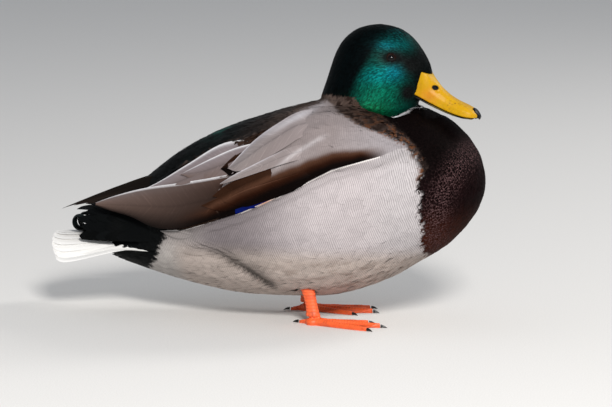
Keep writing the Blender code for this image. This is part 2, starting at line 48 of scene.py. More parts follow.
COAT_DEPTH = 2.6        # how far the skin lies inside the coat's surface on the body
FACE_COAT_DEPTH = 0.9   # the same on the head, where the feathers are shortest
PATCH = 0.003           # size of one feather's patch in the bake map
ATTRIBUTE_KINDS = {     # by the number of values at each point
    1: ("FLOAT", "value"),
    3: ("FLOAT_VECTOR", "vector"),
    4: ("FLOAT_COLOR", "color"),
}


# ---------------------------------------------------------------- small helpers

def unit(vectors):
    return vectors / np.maximum(np.linalg.norm(vectors, axis=-1, keepdims=True), 1e-9)


def ease(low, high, value):
    share = np.clip((value - low) / (high - low), 0, 1)
    return share * share * (3 - 2 * share)


def blend(first, second, share):
    first, second, share = np.asarray(first), np.asarray(second), np.asarray(share)
    return first + (second - first) * share[..., None]


def folded(points):
    """The points with the left and the right side laid on each other."""
    return np.stack([points[:, 0], abs(points[:, 1]), points[:, 2]], 1)


def bump(points, centre, radii):
    """1 at the centre of a blob on each side of the bird, falling smoothly to 0 outside it."""
    return np.exp(-(((folded(points) - centre) / radii) ** 2).sum(1))


def layers(points, base, *coats):
    """A base colour for each point, with each further colour laid over it by its share."""
    colour = np.tile(base, (len(points), 1))
    for coat_colour, share in coats:
        colour = blend(colour, coat_colour, share)
    return colour


def hash01(points, cell, seed):
    """A steady random number from 0 to 1 for the cell of space that each point is in."""
    keys = np.floor(points / cell).astype(np.int64) + seed
    mixed = keys[:, 0] * 73856093 ^ keys[:, 1] * 19349663 ^ keys[:, 2] * 83492791
    return (mixed % 9973) / 9973.0


def noise(points, size, seed):
    """Smooth noise from 0 to 1 with lumps of about that size."""
    scaled = points / size
    base = np.floor(scaled)
    share = scaled - base
    share = share * share * (3 - 2 * share)
    total = np.zeros(len(points))
    for corner in np.ndindex(2, 2, 2):
        weight = np.prod(np.where(np.array(corner) == 1, share, 1 - share), 1)
        total += weight * hash01(base + corner, 1.0, seed)
    return total


def mesh_arrays(obj):
    """A mesh's points in mm and its faces."""
    points = np.empty(len(obj.data.vertices) * 3)
    obj.data.vertices.foreach_get("co", points)
    return points.reshape(-1, 3) / MM, [tuple(face.vertices) for face in obj.data.polygons]


def mesh_normals(obj):
    normals = np.empty(len(obj.data.vertices) * 3)
    obj.data.vertices.foreach_get("normal", normals)
    return normals.reshape(-1, 3)


def move(obj, points):
    """Puts a mesh's points at new places in mm."""
    obj.data.vertices.foreach_set("co", (points * MM).astype(np.float32).ravel())


def set_tint(obj, colour):
    """Writes a colour for each point of a mesh."""
    tint = np.concatenate([colour, np.ones((len(colour), 1))], 1).astype(np.float32)
    obj.data.attributes.new("tint", "FLOAT_COLOR", "POINT").data.foreach_set("color", tint.ravel())
    return obj


def mesh_object(name, points, faces, attributes=None, uv=None):
    """A smooth mesh from points in mm, with point attributes and a bake map."""
    faces = np.asarray(faces, np.int32)
    sides = faces.shape[1]
    mesh = bpy.data.meshes.new(name)
    mesh.vertices.add(len(points))
    mesh.vertices.foreach_set("co", (np.asarray(points) * MM).astype(np.float32).ravel())
    mesh.loops.add(faces.size)
    mesh.loops.foreach_set("vertex_index", faces.ravel())
    mesh.polygons.add(len(faces))
    mesh.polygons.foreach_set("loop_start", np.arange(len(faces), dtype=np.int32) * sides)
    mesh.update(calc_edges=True)
    mesh.validate()
    mesh.shade_smooth()
    for key, values in (attributes or {}).items():
        values = np.asarray(values, np.float32).reshape(len(points), -1)
        kind, field = ATTRIBUTE_KINDS[values.shape[1]]
        mesh.attributes.new(key, kind, "POINT").data.foreach_set(field, values.ravel())
    if uv is not None:
        layer = mesh.uv_layers.new(name="OFBake")
        layer.data.foreach_set("uv", np.asarray(uv, np.float32)[faces.ravel()].ravel())
    obj = bpy.data.objects.new(name, mesh)
    bpy.context.scene.collection.objects.link(obj)
    return obj


def finished(obj, material, replaced=()):
    """Gives a piece its material, hides the solids it replaces, and ties it to the bird's one body.
    """
    obj.data.materials.clear()
    obj.data.materials.append(material)
    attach(obj, "root")
    if replaced:
        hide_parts(*replaced)
    return obj


# ---------------------------------------------------------------- the bird's form

WELD = 0.01             # points of two nodes nearer than this are joined


def gathered(nodes, grow=0.0):
    """Several CAD nodes as one set of points in mm, stood out by that much, and faces."""
    points, faces, count = [], [], 0
    for node in nodes:
        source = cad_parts[node]
        own, own_faces = mesh_arrays(source)
        points.append(own + mesh_normals(source) * grow)
        faces += [tuple(index + count for index in face) for face in own_faces]
        count += len(own)
    return np.concatenate(points), faces


def remeshed(name, nodes, voxel, grow=0.4, smoothing=8):
    """One closed smooth mesh round several CAD nodes, with the thin gaps between them closed."""
    points, faces = gathered(nodes, grow)
    mesh = bpy.data.meshes.new(name)
    mesh.from_pydata((points * MM).tolist(), [], faces)
    obj = bpy.data.objects.new(name, mesh)
    bpy.context.scene.collection.objects.link(obj)
    welded = obj.modifiers.new("weld", "WELD")
    welded.merge_threshold = WELD * MM
    voxels = obj.modifiers.new("voxels", "REMESH")
    voxels.mode = "VOXEL"
    voxels.voxel_size = voxel * MM
    smooth = obj.modifiers.new("smooth", "SMOOTH")
    smooth.iterations = smoothing
    bpy.context.view_layer.update()
    evaluated = obj.evaluated_get(bpy.context.evaluated_depsgraph_get())
    made = bpy.data.meshes.new_from_object(evaluated)
    obj.modifiers.clear()
    obj.data = made
    obj.data.shade_smooth()
    return obj


class Surface:
    """The signed distance to a closed mesh on a grid, to lay many points on it at once."""

    PITCH = 2.2
    BAND = 5

    def __init__(self, obj):
        points, faces = mesh_arrays(obj)
        tree = BVHTree.FromPolygons(points.tolist(), faces)
        margin = (self.BAND + 2) * self.PITCH
        self.low = points.min(0) - margin
        size = np.ceil((points.max(0) + margin - self.low) / self.PITCH).astype(int)
        near = np.zeros(size, bool)
        near[tuple(np.round((points - self.low) / self.PITCH).astype(int).T)] = True
        for _ in range(self.BAND):
            wider = near.copy()
            for axis in range(3):
                wider |= np.roll(near, 1, axis) | np.roll(near, -1, axis)
            near = wider
        grid = np.full(size, self.BAND * self.PITCH)
        for cell in np.argwhere(near):
            point = Vector(self.low + cell * self.PITCH)
            nearest, normal, _, distance = tree.find_nearest(point)
            grid[tuple(cell)] = distance if (point - nearest).dot(normal) > 0 else -distance
        slopes = np.gradient(grid, self.PITCH)
        self.channels = np.stack([grid, *slopes], -1)

    def sample(self, points):
        """Distance and gradient at each point, read between the grid's corners."""
        place = (points - self.low) / self.PITCH
        base = np.clip(np.floor(place).astype(int), 0, np.array(self.channels.shape[:3]) - 2)
        share = place - base
        total = np.zeros((len(points), 4))
        for corner in np.ndindex(2, 2, 2):
            weight = np.prod(np.where(np.array(corner) == 1, share, 1 - share), 1)
            cell = base + corner
            total += weight[:, None] * self.channels[cell[:, 0], cell[:, 1], cell[:, 2]]
        return total[:, 0], unit(total[:, 1:])

    def lay(self, points, height):
        """The points moved in or out to that height over the surface, with their normals."""
        for _ in range(3):
            distance, normal = self.sample(points)
            points = points + normal * (height - distance)[:, None]
        return points, normal

    def outermost(self, centres, ways, reach):
        """The outermost point of the surface on each line from a centre along its way."""
        depth = np.arange(reach, -1.0, -0.5)
        probes = centres[:, None] + ways[:, None] * depth[None, :, None]
        inside = self.sample(probes.reshape(-1, 3))[0].reshape(len(centres), -1) < 0
        first = np.where(inside.any(1), inside.argmax(1), len(depth) - 1)
        return centres + ways * depth[first][:, None]


# ---------------------------------------------------------------- how the coat lies

# Places on either side (x, distance from the middle, z) and the way feathers point there.
LIE = np.array([
    # place                direction
    (128, 0, 212,          -0.5, 0.0, 0.9),     # forehead, over the bill
    (118, 0, 231,          -0.9, 0.0, 0.4),
    (95, 0, 237,           -1.0, 0.0, 0.0),     # crown
    (68, 0, 226,           -0.7, 0.0, -0.7),
    (54, 0, 205,           -0.1, 0.0, -1.0),    # nape
    (48, 0, 184,           -0.6, 0.0, -0.8),
    (124, 13, 200,         -0.9, 0.2, 0.35),    # lores
    (118, 18, 215,         -0.9, 0.2, 0.2),
    (95, 22, 212,          -1.0, 0.0, -0.3),    # behind the eye
    (100, 15, 228,         -1.0, 0.2, 0.0),
    (75, 22, 215,          -0.7, 0.0, -0.7),
    (110, 24, 195,         -0.8, 0.1, -0.5),    # cheek
    (95, 29, 185,          -0.55, 0.1, -0.85),
    (70, 26, 190,          -0.4, 0.0, -0.95),
    (122, 6, 176,          -0.75, 0.3, -0.6),   # throat
    (118, 12, 170,         -0.3, 0.3, -0.9),
    (90, 33, 168,          -0.5, 0.1, -0.85),   # lower neck
    (135, 0, 170,          0.5, 0.0, -0.7),
    (150, 0, 158,          0.7, 0.0, -0.7),     # top of the breast
    (172, 0, 135,          0.3, 0.0, -1.0),
    (178, 0, 112,          -0.05, 0.0, -1.0),   # breast
    (165, 0, 75,           -0.5, 0.0, -0.85),
    (140, 0, 52,           -0.9, 0.0, -0.35),
    (140, 35, 152,         -0.2, 0.4, -0.9),
    (165, 38, 125,         -0.3, 0.3, -0.9),
    (160, 42, 100,         -0.5, 0.2, -0.85),
    (145, 45, 70,          -0.85, 0.1, -0.5),
    (140, 58, 120,         -0.75, 0.2, -0.6),
    (120, 50, 155,         -0.75, 0.3, -0.55),  # shoulder
    (90, 20, 176,          -0.95, 0.1, -0.1),
    (60, 0, 180,           -1.0, 0.0, 0.0),     # mantle
    (100, 62, 138,         -0.95, 0.1, -0.35),
    (60, 55, 160,          -0.95, 0.1, -0.4),
    (30, 50, 160,          -0.9, 0.1, -0.55),
    (10, 30, 160,          -0.95, 0.0, -0.35),
    (60, 73, 110,          -1.0, 0.0, -0.15),   # flank
    (20, 72, 85,           -1.0, 0.0, -0.1),
    (-20, 62, 70,          -1.0, 0.0, 0.02),
    (80, 60, 60,           -0.97, 0.0, -0.05),
    (90, 25, 32,           -1.0, 0.0, 0.0),     # belly
    (40, 25, 25,           -1.0, 0.0, 0.0),
    (0, 50, 50,            -0.85, 0.0, -0.2),   # thigh
    (-30, 45, 45,          -0.95, 0.0, 0.15),
    (-60, 20, 28,          -0.95, 0.0, 0.3),
    (-70, 42, 60,          -1.0, 0.0, 0.15),    # vent
    (-110, 20, 45,         -1.0, 0.0, 0.25),
    (-20, 0, 160,          -0.95, 0.0, -0.25),  # lower back
    (-80, 0, 125,          -0.9, 0.0, -0.45),
    (-120, 0, 95,          -0.9, 0.0, -0.4),
    (-100, 35, 80,         -0.97, 0.0, -0.1),
])


LIE_BLUR = 30.0         # square of the distance over which one place's lie gives way to the next
MIDLINE = 8.0           # sideways lie dies out this near the bird's middle


def lie_at(points, normals):
    """The way feathers point at each place on the surface."""
    side = np.where(points[:, 1] < 0, -1.0, 1.0)
    places = folded(points)
    gap = ((places[:, None, :] - LIE[None, :, :3]) ** 2).sum(2)
    weight = 1.0 / (gap + LIE_BLUR) ** 2
    way = (weight @ LIE[:, 3:]) / weight.sum(1)[:, None]
    way[:, 1] *= side * ease(0, MIDLINE, places[:, 1])
    way -= normals * (way * normals).sum(1)[:, None]
    return unit(way)


# ---------------------------------------------------------------- markings

def line_through(places, values):
    """A border as a function, read between the given places."""
    return lambda at: np.interp(at, places, values)


# Borders between the plumage's fields, as seen from the side: x for a height z, or z for an x.
breast_edge_x = line_through([40, 58, 70, 83, 95, 108, 119, 131, 139, 147, 157, 164, 168, 180],
                             [134, 138, 139, 142, 140, 142, 140, 146, 144, 137, 125, 114, 108, 104])
mantle_edge_x = line_through([118, 130, 142, 151, 157, 162, 169, 174, 178],
                             [140, 141, 135, 124, 112, 96, 80, 66, 55])
flank_top_z = line_through([-90, -68, -55, -31, -1, 23, 51, 76, 111, 124],
                           [73, 72.5, 74, 81.5, 92, 103, 117, 130, 140, 146])
back_edge_z = line_through([-135, -90, -57, -27, 5, 25, 39, 56, 75, 100],
                           [90, 105, 125, 141, 152, 162, 171, 178, 185, 192])
scapular_tip_x = line_through([112, 122, 131, 142, 152, 160], [-20, -12, -5, 7, 18, 30])
vent_edge_x = line_through([30, 38, 46, 56, 67, 76], [-100, -92, -83, -77, -71, -66])
neck_half_width = line_through([40, 60, 77, 97, 110, 130], [10, 18, 27, 34, 33.5, 34])
thigh_fold_z = line_through([-74, -58, -45, -33, -18, -3, 8, 16],
                            [48, 55, 59, 59.5, 55, 46, 38, 31])
RING_DIP_X = 107.0
RING_DIP_Z = 164.6
RING_DROP = 2.7         # how far below that line the white feathers' tips hang
RING_RISE_FRONT, RING_RISE_REAR = 0.46, 0.29        # slopes of that line


def ring_height(x):
    """Where the green of the neck ends: lowest beside the cheek, higher in front and behind."""
    return RING_DIP_Z + np.maximum(RING_RISE_FRONT * (x - RING_DIP_X),
                                   RING_RISE_REAR * (RING_DIP_X - x))


# Straight borders: the belly's top, the front of the mantle and of the back, the mantle's lower
# end on the shoulder, the patch over the tail, and the rear and the always green part of the neck.
BELLY_TOP_Z = 62
MANTLE_FRONT_X, BACK_FRONT_X = 112, 30
MANTLE_LOW_Z = 116
TAIL_PATCH_X, TAIL_PATCH_Z = -60, 78
NECK_REAR_X, NECK_GREEN_Z = 38, 181


def tract_of(points, jitter):
    """The plumage field that each place belongs to, with borders ragged by the jitter."""
    x = points[:, 0] + jitter * 3.0
    z = points[:, 2] + jitter * 1.0
    above_flank, above_back = z > flank_top_z(x), z > back_edge_z(x)
    wing = above_flank & ~above_back
    tract = np.full(len(points), "belly", dtype="<U10")
    tract[(z > BELLY_TOP_Z + 9 * jitter) & ~above_flank] = "flank"
    tract[wing] = "wing"
    tract[wing & (x > scapular_tip_x(z))] = "scapular"
    tract[above_back & (x < MANTLE_FRONT_X)] = "back"
    tract[above_back & (x > BACK_FRONT_X) & (x < MANTLE_FRONT_X)] = "mantle"
    tract[(x > mantle_edge_x(z)) & (z > MANTLE_LOW_Z)] = "mantle"
    tract[x < vent_edge_x(z)] = "rump"
    tract[(x < TAIL_PATCH_X) & (z > TAIL_PATCH_Z) & (tract != "wing")] = "rump"
    tract[x > breast_edge_x(z)] = "breast"
    over_ring = points[:, 2] > ring_height(points[:, 0]) + jitter * 0.5
    on_neck = (abs(points[:, 1]) < neck_half_width(x)) | (z > NECK_GREEN_Z)
    tract[over_ring & on_neck & (points[:, 0] > NECK_REAR_X)] = "head"
    return tract


def crease(points):
    """1 in the shade over the thigh, sharp against it and fading up the flank."""
    x = points[:, 0]
    above = points[:, 2] - thigh_fold_z(x)
    fade = np.interp(x, [-60, -35, -15, 16], [4.0, 8.0, 12.0, 15.0])
    along = ease(-58, 2, x) * ease(26, 14, x) * ease(0, 25, abs(points[:, 1]))
    shade = 1.15 * np.exp(-np.where(above > 0, above / fade, (above / 2.2) ** 2))
    return along * np.clip(shade, 0, 1)


def relief(points):
    """How far the coat stands off its even height: it folds in over the thigh."""
    x = points[:, 0]
    above = points[:, 2] - thigh_fold_z(x)
    along = ease(-64, -40, x) * ease(26, 12, x) * ease(0, 25, abs(points[:, 1]))
    swell, fold = np.exp(-((above - 12) / 5.0) ** 2), np.exp(-((above - 1.5) / 4.0) ** 2)
    return along * (0.9 * swell - 2.2 * fold)


# The head's own green-black, the colours of the sheen painted on it, and the dark of the lores and
# eye ring.
GREEN_BLACK = (0.0008, 0.0024, 0.0028)
EMERALD = (0.001, 0.100, 0.058)
NECK_GREEN = (0.001, 0.062, 0.018)
TEAL = (0.001, 0.125, 0.130)
BLUE = (0.001, 0.135, 0.190)
DEEP_GREEN = (0.001, 0.036, 0.030)
MASK = (0.006, 0.007, 0.007)
CREASE_SHADE = 0.78     # how much of the colour the thigh's crease takes away


def paint_head(points, speck):
    """Green-black, with a painted sheen where the light catches it: emerald on the cheek and lower
    neck, blue under the eye and teal over it and on the forehead; black on the nape and crown.
    """
    x, z = points[:, 0], points[:, 2]
    rear = np.interp(z, [160, 181, 195, 211, 225], [60, 72, 77, 86, 94])
    # where the painted sheen shows; none on the nape, the crown and the face's front
    painted_sheen = ease(0, 12, x - rear) * ease(236, 218, z) * ease(130, 118, x)
    lores = bump(points, (124, 8, 206), (9, 16, 9)) + bump(points, (121, 14, 185), (6, 12, 7))
    eye_ring = bump(points, (109, 20, 213), (11.5, 12, 6.2))
    colour = layers(
        points, GREEN_BLACK,
        (DEEP_GREEN, painted_sheen * 0.8),
        (EMERALD, 0.95 * bump(points, (101, 30, 186), (17, 22, 18)) * painted_sheen),
        (NECK_GREEN, 0.95 * bump(points, (95, 34, 170), (21, 18, 9))),
        (TEAL, 0.85 * bump(points, (101, 25, 199), (16, 16, 7)) * painted_sheen),
        (BLUE, 0.65 * bump(points, (112, 23, 202), (6.5, 12, 6))),
        (TEAL, 0.45 * bump(points, (112, 15, 223), (13, 12, 5))),
        (BLUE, 0.30 * bump(points, (104, 16, 222), (6, 10, 3))),
        # painted glints of teal on the forehead
        (TEAL, 0.35 * bump(points, (114, 10, 232), (10, 12, 4)) * ease(0.4, 0.8, speck)),
        (MASK, np.clip(lores * 1.3 + eye_ring * 1.1, 0, 1)))
    return colour * (0.40 + 1.2 * speck ** 1.5)[:, None]


def paint_breast(points, speck):
    """Dark chestnut, redder below, and nearly black above with the painted shadow of the head."""
    x, z = points[:, 0], points[:, 2]
    colour = layers(
        points, (0.0045, 0.0015, 0.0017),
        # painted shadow of the head: nearly black over the upper breast
        ((0.0016, 0.0009, 0.0009), ease(112, 142, z - 0.25 * (x - 160))),
        ((0.032, 0.0075, 0.0036), ease(106, 66, z)))
    return colour * (0.7 + 0.6 * speck)[:, None]


def breast_fringe(points):
    """How pale the feather edges are: a speckled band slopes down across the breast."""
    band = np.interp(points[:, 2], [60, 110, 125, 136, 150], [150, 159, 166, 171, 177])
    near = np.exp(-((points[:, 0] - band + 3) / 9.0) ** 2)
    return np.clip(near * ease(160, 146, points[:, 2]) + 0.03, 0, 1)


def paint_mantle(points, speck):
    """Grey-brown with warm orange-brown spots, dark along the middle, and painted shade by the
    neck.
    """
    x = points[:, 0]
    spot = 0.6 * noise(points, 3.6, 11) + 0.4 * speck
    # painted shade where the mantle meets the neck
    shade_by_neck = ease(-8, -1, points[:, 2] - ring_height(x)) * ease(50, 75, x)
    colour = layers(
        points, (0.120, 0.088, 0.076),
        ((0.052, 0.036, 0.031), ease(80, 108, x)),
        ((0.085, 0.034, 0.016), ease(0.50, 0.60, spot) * ease(70, 100, x)),
        ((0.014, 0.009, 0.008), ease(0.48, 0.36, spot)),
        ((0.022, 0.013, 0.010), shade_by_neck * 0.7),
        ((0.030, 0.020, 0.016), ease(27, 12, abs(points[:, 1])) * ease(118, 96, x) * 0.8))
    return colour * (0.75 + 0.5 * speck)[:, None]


def brown_band(points, colour):
    """The rich brown under the scapulars, black-brown where it meets the flank."""
    x, z = points[:, 0], points[:, 2]
    above_flank = z - flank_top_z(x) + 1.2 * (noise(points, 7, 2) - 0.5)
    width = np.interp(x, [-30, 0, 25, 60, 90, 112], [11, 17, 17, 14, 9, 4])
    fade = ease(120, 96, x)
    for brown, outer, inner in (((0.060, 0.026, 0.015), width + 5, width),
                                ((0.019, 0.0052, 0.0020), width + 1, width * 0.62),
                                ((0.0022, 0.0010, 0.0008), width * 0.8, width * 0.3)):
        colour = blend(colour, brown, ease(outer, inner, above_flank) * fade)
    return colour


def paint_scapular(points, speck):
    """Warm light grey, white along the upper edge, rich brown to black along the lower."""
    x, z = points[:, 0], points[:, 2]
    below_back = back_edge_z(x) - z
    second_z = np.interp(x, [28, 48, 64, 72], [128, 143, 153, 156])
    streak = np.exp(-((below_back - 4) / 3.0) ** 2) * ease(62, 40, x) * ease(6, 22, x)
    second = np.exp(-((z - second_z) / 2.0) ** 2) * ease(24, 40, x) * ease(74, 62, x)
    colour = layers(
        points, (0.245, 0.212, 0.212),
        ((0.175, 0.140, 0.136), noise(points, 17, 5) * 0.5),
        ((0.295, 0.275, 0.29), ease(70, 120, x) * 0.75))
    colour = brown_band(points, colour)
    colour = blend(colour, (0.52, 0.50, 0.53), streak * 0.8)
    colour = blend(colour, (0.46, 0.43, 0.44), second * 0.6)
    return colour * (0.95 + 0.10 * speck)[:, None]


def paint_flank(points, speck):
    """Pale grey, whitest near the breast."""
    x, z = points[:, 0], points[:, 2]
    colour = layers(
        points, (0.475, 0.430, 0.440),
        ((0.455, 0.425, 0.435), ease(90, 130, x)),
        ((0.225, 0.196, 0.205), ease(68, -5, x)),
        ((0.33, 0.30, 0.29), ease(-20, -60, x)))
    colour = colour * (1 - 0.18 * ease(14, 4, flank_top_z(x) - z))[:, None]
    return colour * (0.94 + 0.12 * speck)[:, None] * (1 - CREASE_SHADE * crease(points))[:, None]


def paint_belly(points, speck):
    """Warm pale grey with darker streaks along it, painted shade of folds in the down, and an
    off-white downy vent.
    """
    x, z = points[:, 0], points[:, 2]
    stretched = points * (0.22, 1.0, 1.0)
    # darker streaks along the belly: painted shade of folds in the down
    streak = ease(0.58, 0.80, noise(stretched, 2.6, 3)) * ease(66, 44, z) * ease(10, 50, x)
    colour = layers(
        points, (0.44, 0.375, 0.34),
        ((0.19, 0.145, 0.120), streak * 0.7),
        ((0.42, 0.40, 0.385), ease(-50, -72, x) * 0.8))
    return colour * (0.90 + 0.20 * speck)[:, None] * (1 - CREASE_SHADE * crease(points))[:, None]


def paint_back(points, speck):
    """Streaky black-brown, black farther back, with a painted green glint on the back."""
    x = points[:, 0]
    colour = layers(
        points, (0.010, 0.007, 0.006),
        ((0.045, 0.030, 0.024), noise(points * (0.3, 1, 1), 3.0, 8) * ease(0, 26, x)),
        ((0.002, 0.003, 0.003), ease(5, -25, x)),
        # a painted green glint on the black of the back
        ((0.002, 0.050, 0.040), bump(points, (-38, 8, 150), (11, 10, 9)) * speck))
    return colour * (0.6 + 0.8 * speck)[:, None]


def paint_rump(points, speck):
    """Black, with a faint blue-green cast."""
    return layers(points, (0.0020, 0.0024, 0.0026)) * (0.6 + 0.8 * speck)[:, None]


def paint_ring(points, speck):
    return layers(points, (0.66, 0.66, 0.68)) * (0.9 + 0.1 * speck)[:, None]


def paint_wing(points, speck):
    """The small hidden feathers under the quills."""
    return layers(points, (0.030, 0.017, 0.012)) * (0.7 + 0.6 * speck)[:, None]


def paint_coat(points, speck):
    """The body's colours, each field run softly and raggedly into the next."""
    x, z = points[:, 0], points[:, 2]
    ragged = (speck - 0.5) * 4.5 + (noise(points, 3.0, 7) - 0.5) * 3
    past_flank = z - flank_top_z(x)
    past_back = z - back_edge_z(x)
    past_mantle = np.maximum(x - mantle_edge_x(z), past_back)
    past_vent = vent_edge_x(z) - x
    past_breast = x - breast_edge_x(z)
    over_tail = ease(-58, -66, x) * ease(74, 80, z)
    fields = (
        (paint_belly, np.ones(len(x))),
        (paint_flank, ease(52, 70, z)),
        (paint_scapular, ease(-0.5, 0.5, past_flank)),
        (paint_wing, ease(2, -1, x - scapular_tip_x(z)) * (z > 0.5 + flank_top_z(x))),
        (paint_mantle, ease(-3, 2.5, past_mantle + 0.7 * ragged) * (z > MANTLE_LOW_Z)),
        (paint_back, ease(-2, 2, past_back + ragged) * ease(40, 20, x)),
        (paint_rump, np.maximum(ease(-1.5, 1.5, past_vent + ragged), over_tail)),
        (paint_breast, ease(-1.5, 1.5, past_breast + 0.8 * ragged)),
    )
    colour = np.zeros((len(x), 3))
    for paint, share in fields:
        here = share > 0
        if here.any():
            colour[here] = blend(colour[here], paint(points[here], speck[here]), share[here])
    return colour


@dataclass
class Tract:
    """The feathers of one field of the plumage."""

    spacing: float
    length: float
    half_width: float
    lift: float             # height of the tip over the coat's surface
    loose: float            # 0 for a smooth shield of feathers, 1 for loose ones
    rows: int
    columns: int
    bars: float             # strength of the fine cross bars
    paint: callable


TRACTS = {
    "head": Tract(0.62, 3.8, 0.44, 0.08, 0.9, 4, 3, 0.0, paint_head),
    "breast": Tract(1.4, 8.0, 1.5, 0.12, 0.7, 5, 3, 0.0, paint_coat),
    "mantle": Tract(2.1, 12.0, 2.1, 0.10, 0.5, 6, 3, 0.25, paint_coat),
    "scapular": Tract(4.4, 36.0, 6.2, 0.06, 0.10, 8, 5, 0.35, paint_coat),
    "flank": Tract(4.0, 26.0, 5.2, 0.015, 0.08, 8, 5, 1.0, paint_coat),
    "belly": Tract(3.3, 22.0, 3.8, 0.04, 0.25, 6, 3, 0.6, paint_coat),
    "back": Tract(3.4, 22.0, 4.2, 0.12, 0.5, 6, 3, 0.0, paint_coat),
    "rump": Tract(3.2, 20.0, 4.0, 0.12, 0.5, 6, 3, 0.0, paint_coat),
    "wing": Tract(5.0, 18.0, 5.0, -2.8, 0.1, 5, 3, 0.0, paint_wing),
}
# Borders between tracts of one group don't show; at the others the feathers are small.
GROUPS = {"head": 0, "breast": 1, "mantle": 2, "scapular": 3, "wing": 3, "flank": 4, "belly": 4,
          "back": 5, "rump": 5}


def border_finder(obj):
    """How far each place is from the nearest border between two fields of plumage."""
    points = mesh_arrays(obj)[0]
    group = np.array([GROUPS[name] for name in tract_of(points, np.zeros(len(points)))])
    ends = np.empty(len(obj.data.edges) * 2, np.int32)
    obj.data.edges.foreach_get("vertices", ends)
    ends = ends.reshape(-1, 2)
    ends = ends[group[ends[:, 0]] != group[ends[:, 1]]]
    middles = points[ends].mean(1)
    tree = KDTree(len(middles))
    for index, place in enumerate(middles):
        tree.insert(place, index)
    tree.balance()
    return lambda places: np.array([tree.find(place)[2] for place in places])


def size_at(points, tract, border):
    """Feather size at each place against the tract's own: small by the borders and the neck."""
    x, z = points[:, 0], points[:, 2]
    length = np.array([TRACTS[name].length for name in tract])
    small = np.clip(7.5 / length + border / 42.0, 0, 1)
    small = np.where(tract == "head", 1 - 0.25 * ease(104, 122, x), small)
    neck = 1 - 0.42 * ease(128, 158, z) * ease(95, 120, x) * (tract == "breast")
    low_flank = 1 - 0.25 * ease(88, 60, z) * (tract == "flank")
    return small * neck * low_flank


# ---------------------------------------------------------------- feathers

BLUNT, POINTED = 0.55, 0.35             # where a vane begins to narrow to its tip
DEEP_ROOT, SHALLOW_ROOT = 0.5, 0.14     # depth of the root in the coat, as a share of the length


def coat_depth(points):
    """The coat's thickness: thin on the face, full on the body."""
    return blend([FACE_COAT_DEPTH], [COAT_DEPTH], ease(196, 160, points[:, 2]))[:, 0]


TRIES = 3.2             # random places tried for each square of the spacing


def scatter(obj, spacing_at, seed):
    """Places spread over a mesh, no two nearer than the spacing asked for there."""
    rng = np.random.default_rng(seed)
    mesh = obj.data
    mesh.calc_loop_triangles()
    corners = np.empty(len(mesh.loop_triangles) * 3, np.int32)
    mesh.loop_triangles.foreach_get("vertices", corners)
    points = mesh_arrays(obj)[0][corners].reshape(-1, 3, 3)
    edges = points[:, 1:] - points[:, :1]
    area = np.linalg.norm(np.cross(edges[:, 0], edges[:, 1]), axis=1) / 2
    middle = points.mean(1)
    wanted = TRIES * area / spacing_at(middle) ** 2
    count = rng.poisson(wanted)
    chosen = np.repeat(np.arange(len(area)), count)
    share = rng.random((len(chosen), 2))
    share = np.where(share.sum(1, keepdims=True) > 1, 1 - share, share)
    places = (points[chosen, 0] + share[:, :1] * edges[chosen, 0] + share[:, 1:] * edges[chosen, 1])
    places = places[rng.permutation(len(places))]
    spacing = spacing_at(places)
    tree = KDTree(len(places))
    for index, place in enumerate(places):
        tree.insert(place, index)
    tree.balance()
    kept = np.ones(len(places), bool)
    for index, place in enumerate(places):
        if kept[index]:
            for _, other, _ in tree.find_range(place, spacing[index]):
                kept[other] = False
            kept[index] = True
    return places[kept]


def vane_widths(rows, blunt):
    """Rows along a feather, root to tip, and its half width there as a share of its widest."""
    t = np.linspace(0, 1, rows)
    t = t ** 0.8
    root = ease(-0.25, 0.55, t)
    tip = np.sqrt(np.clip(1 - (np.clip(t - blunt, 0, 1) / (1 - blunt)) ** 2, 0, 1))
    return t, np.maximum(root * tip, 0.06)


def grow(surface, roots, length, half_width, lift, loose, rows, columns, rng, blunt,
         deep=SHALLOW_ROOT):
    """Feathers laid from their roots along the lie of the coat: the first fields of Vanes."""
    count = len(roots)
    along, widths = vane_widths(rows, blunt)
    across = np.linspace(-1, 1, columns)
    length = length * rng.uniform(0.86, 1.14, count)
    half_width = half_width * rng.uniform(0.88, 1.12, count)
    turn = rng.normal(0, 0.05 + 0.09 * loose, count)
    tilt = rng.normal(0, 0.12, count) * loose
    rise = lift * rng.uniform(0.2, 1.8, count)
    camber = 0.11 * loose
    depth = np.minimum(coat_depth(roots), deep * length)
    sink = 2.6 - 1.3 * loose
    spine = np.array(roots)
    grid = np.zeros((count, rows, columns, 3))
    for row in range(rows):
        height = -depth * (1 - along[row]) ** sink + rise * along[row] ** 2 + relief(spine)
        spine, normal = surface.lay(spine, height)
        way = lie_at(spine, normal)
        sideways = np.cross(normal, way)
        way = way * np.cos(turn)[:, None] + sideways * np.sin(turn)[:, None]
        sideways = np.cross(normal, way)
        for column in range(columns):
            u = across[column]
            reach = half_width * widths[row] * u
            edge = spine + sideways * reach[:, None]
            if abs(u) > 0.01:
                edge = surface.lay(edge, height - camber * abs(u) ** 2 * half_width * widths[row]
                                   + tilt * reach)[0]
            grid[:, row, column] = edge
        if row + 1 < rows:
            spine = spine + way * (length * (along[row + 1] - along[row]))[:, None]
    return grid, along, across, length, half_width


def feather_faces(count, rows, columns):
    """The quads of many feathers, each a grid of rows and columns."""
    first = np.arange(rows - 1)[:, None] * columns + np.arange(columns - 1)[None, :]
    quads = np.stack([first, first + columns, first + columns + 1, first + 1], -1).reshape(-1, 4)
    return (quads[None] + (np.arange(count) * rows * columns)[:, None, None]).reshape(-1, 4)


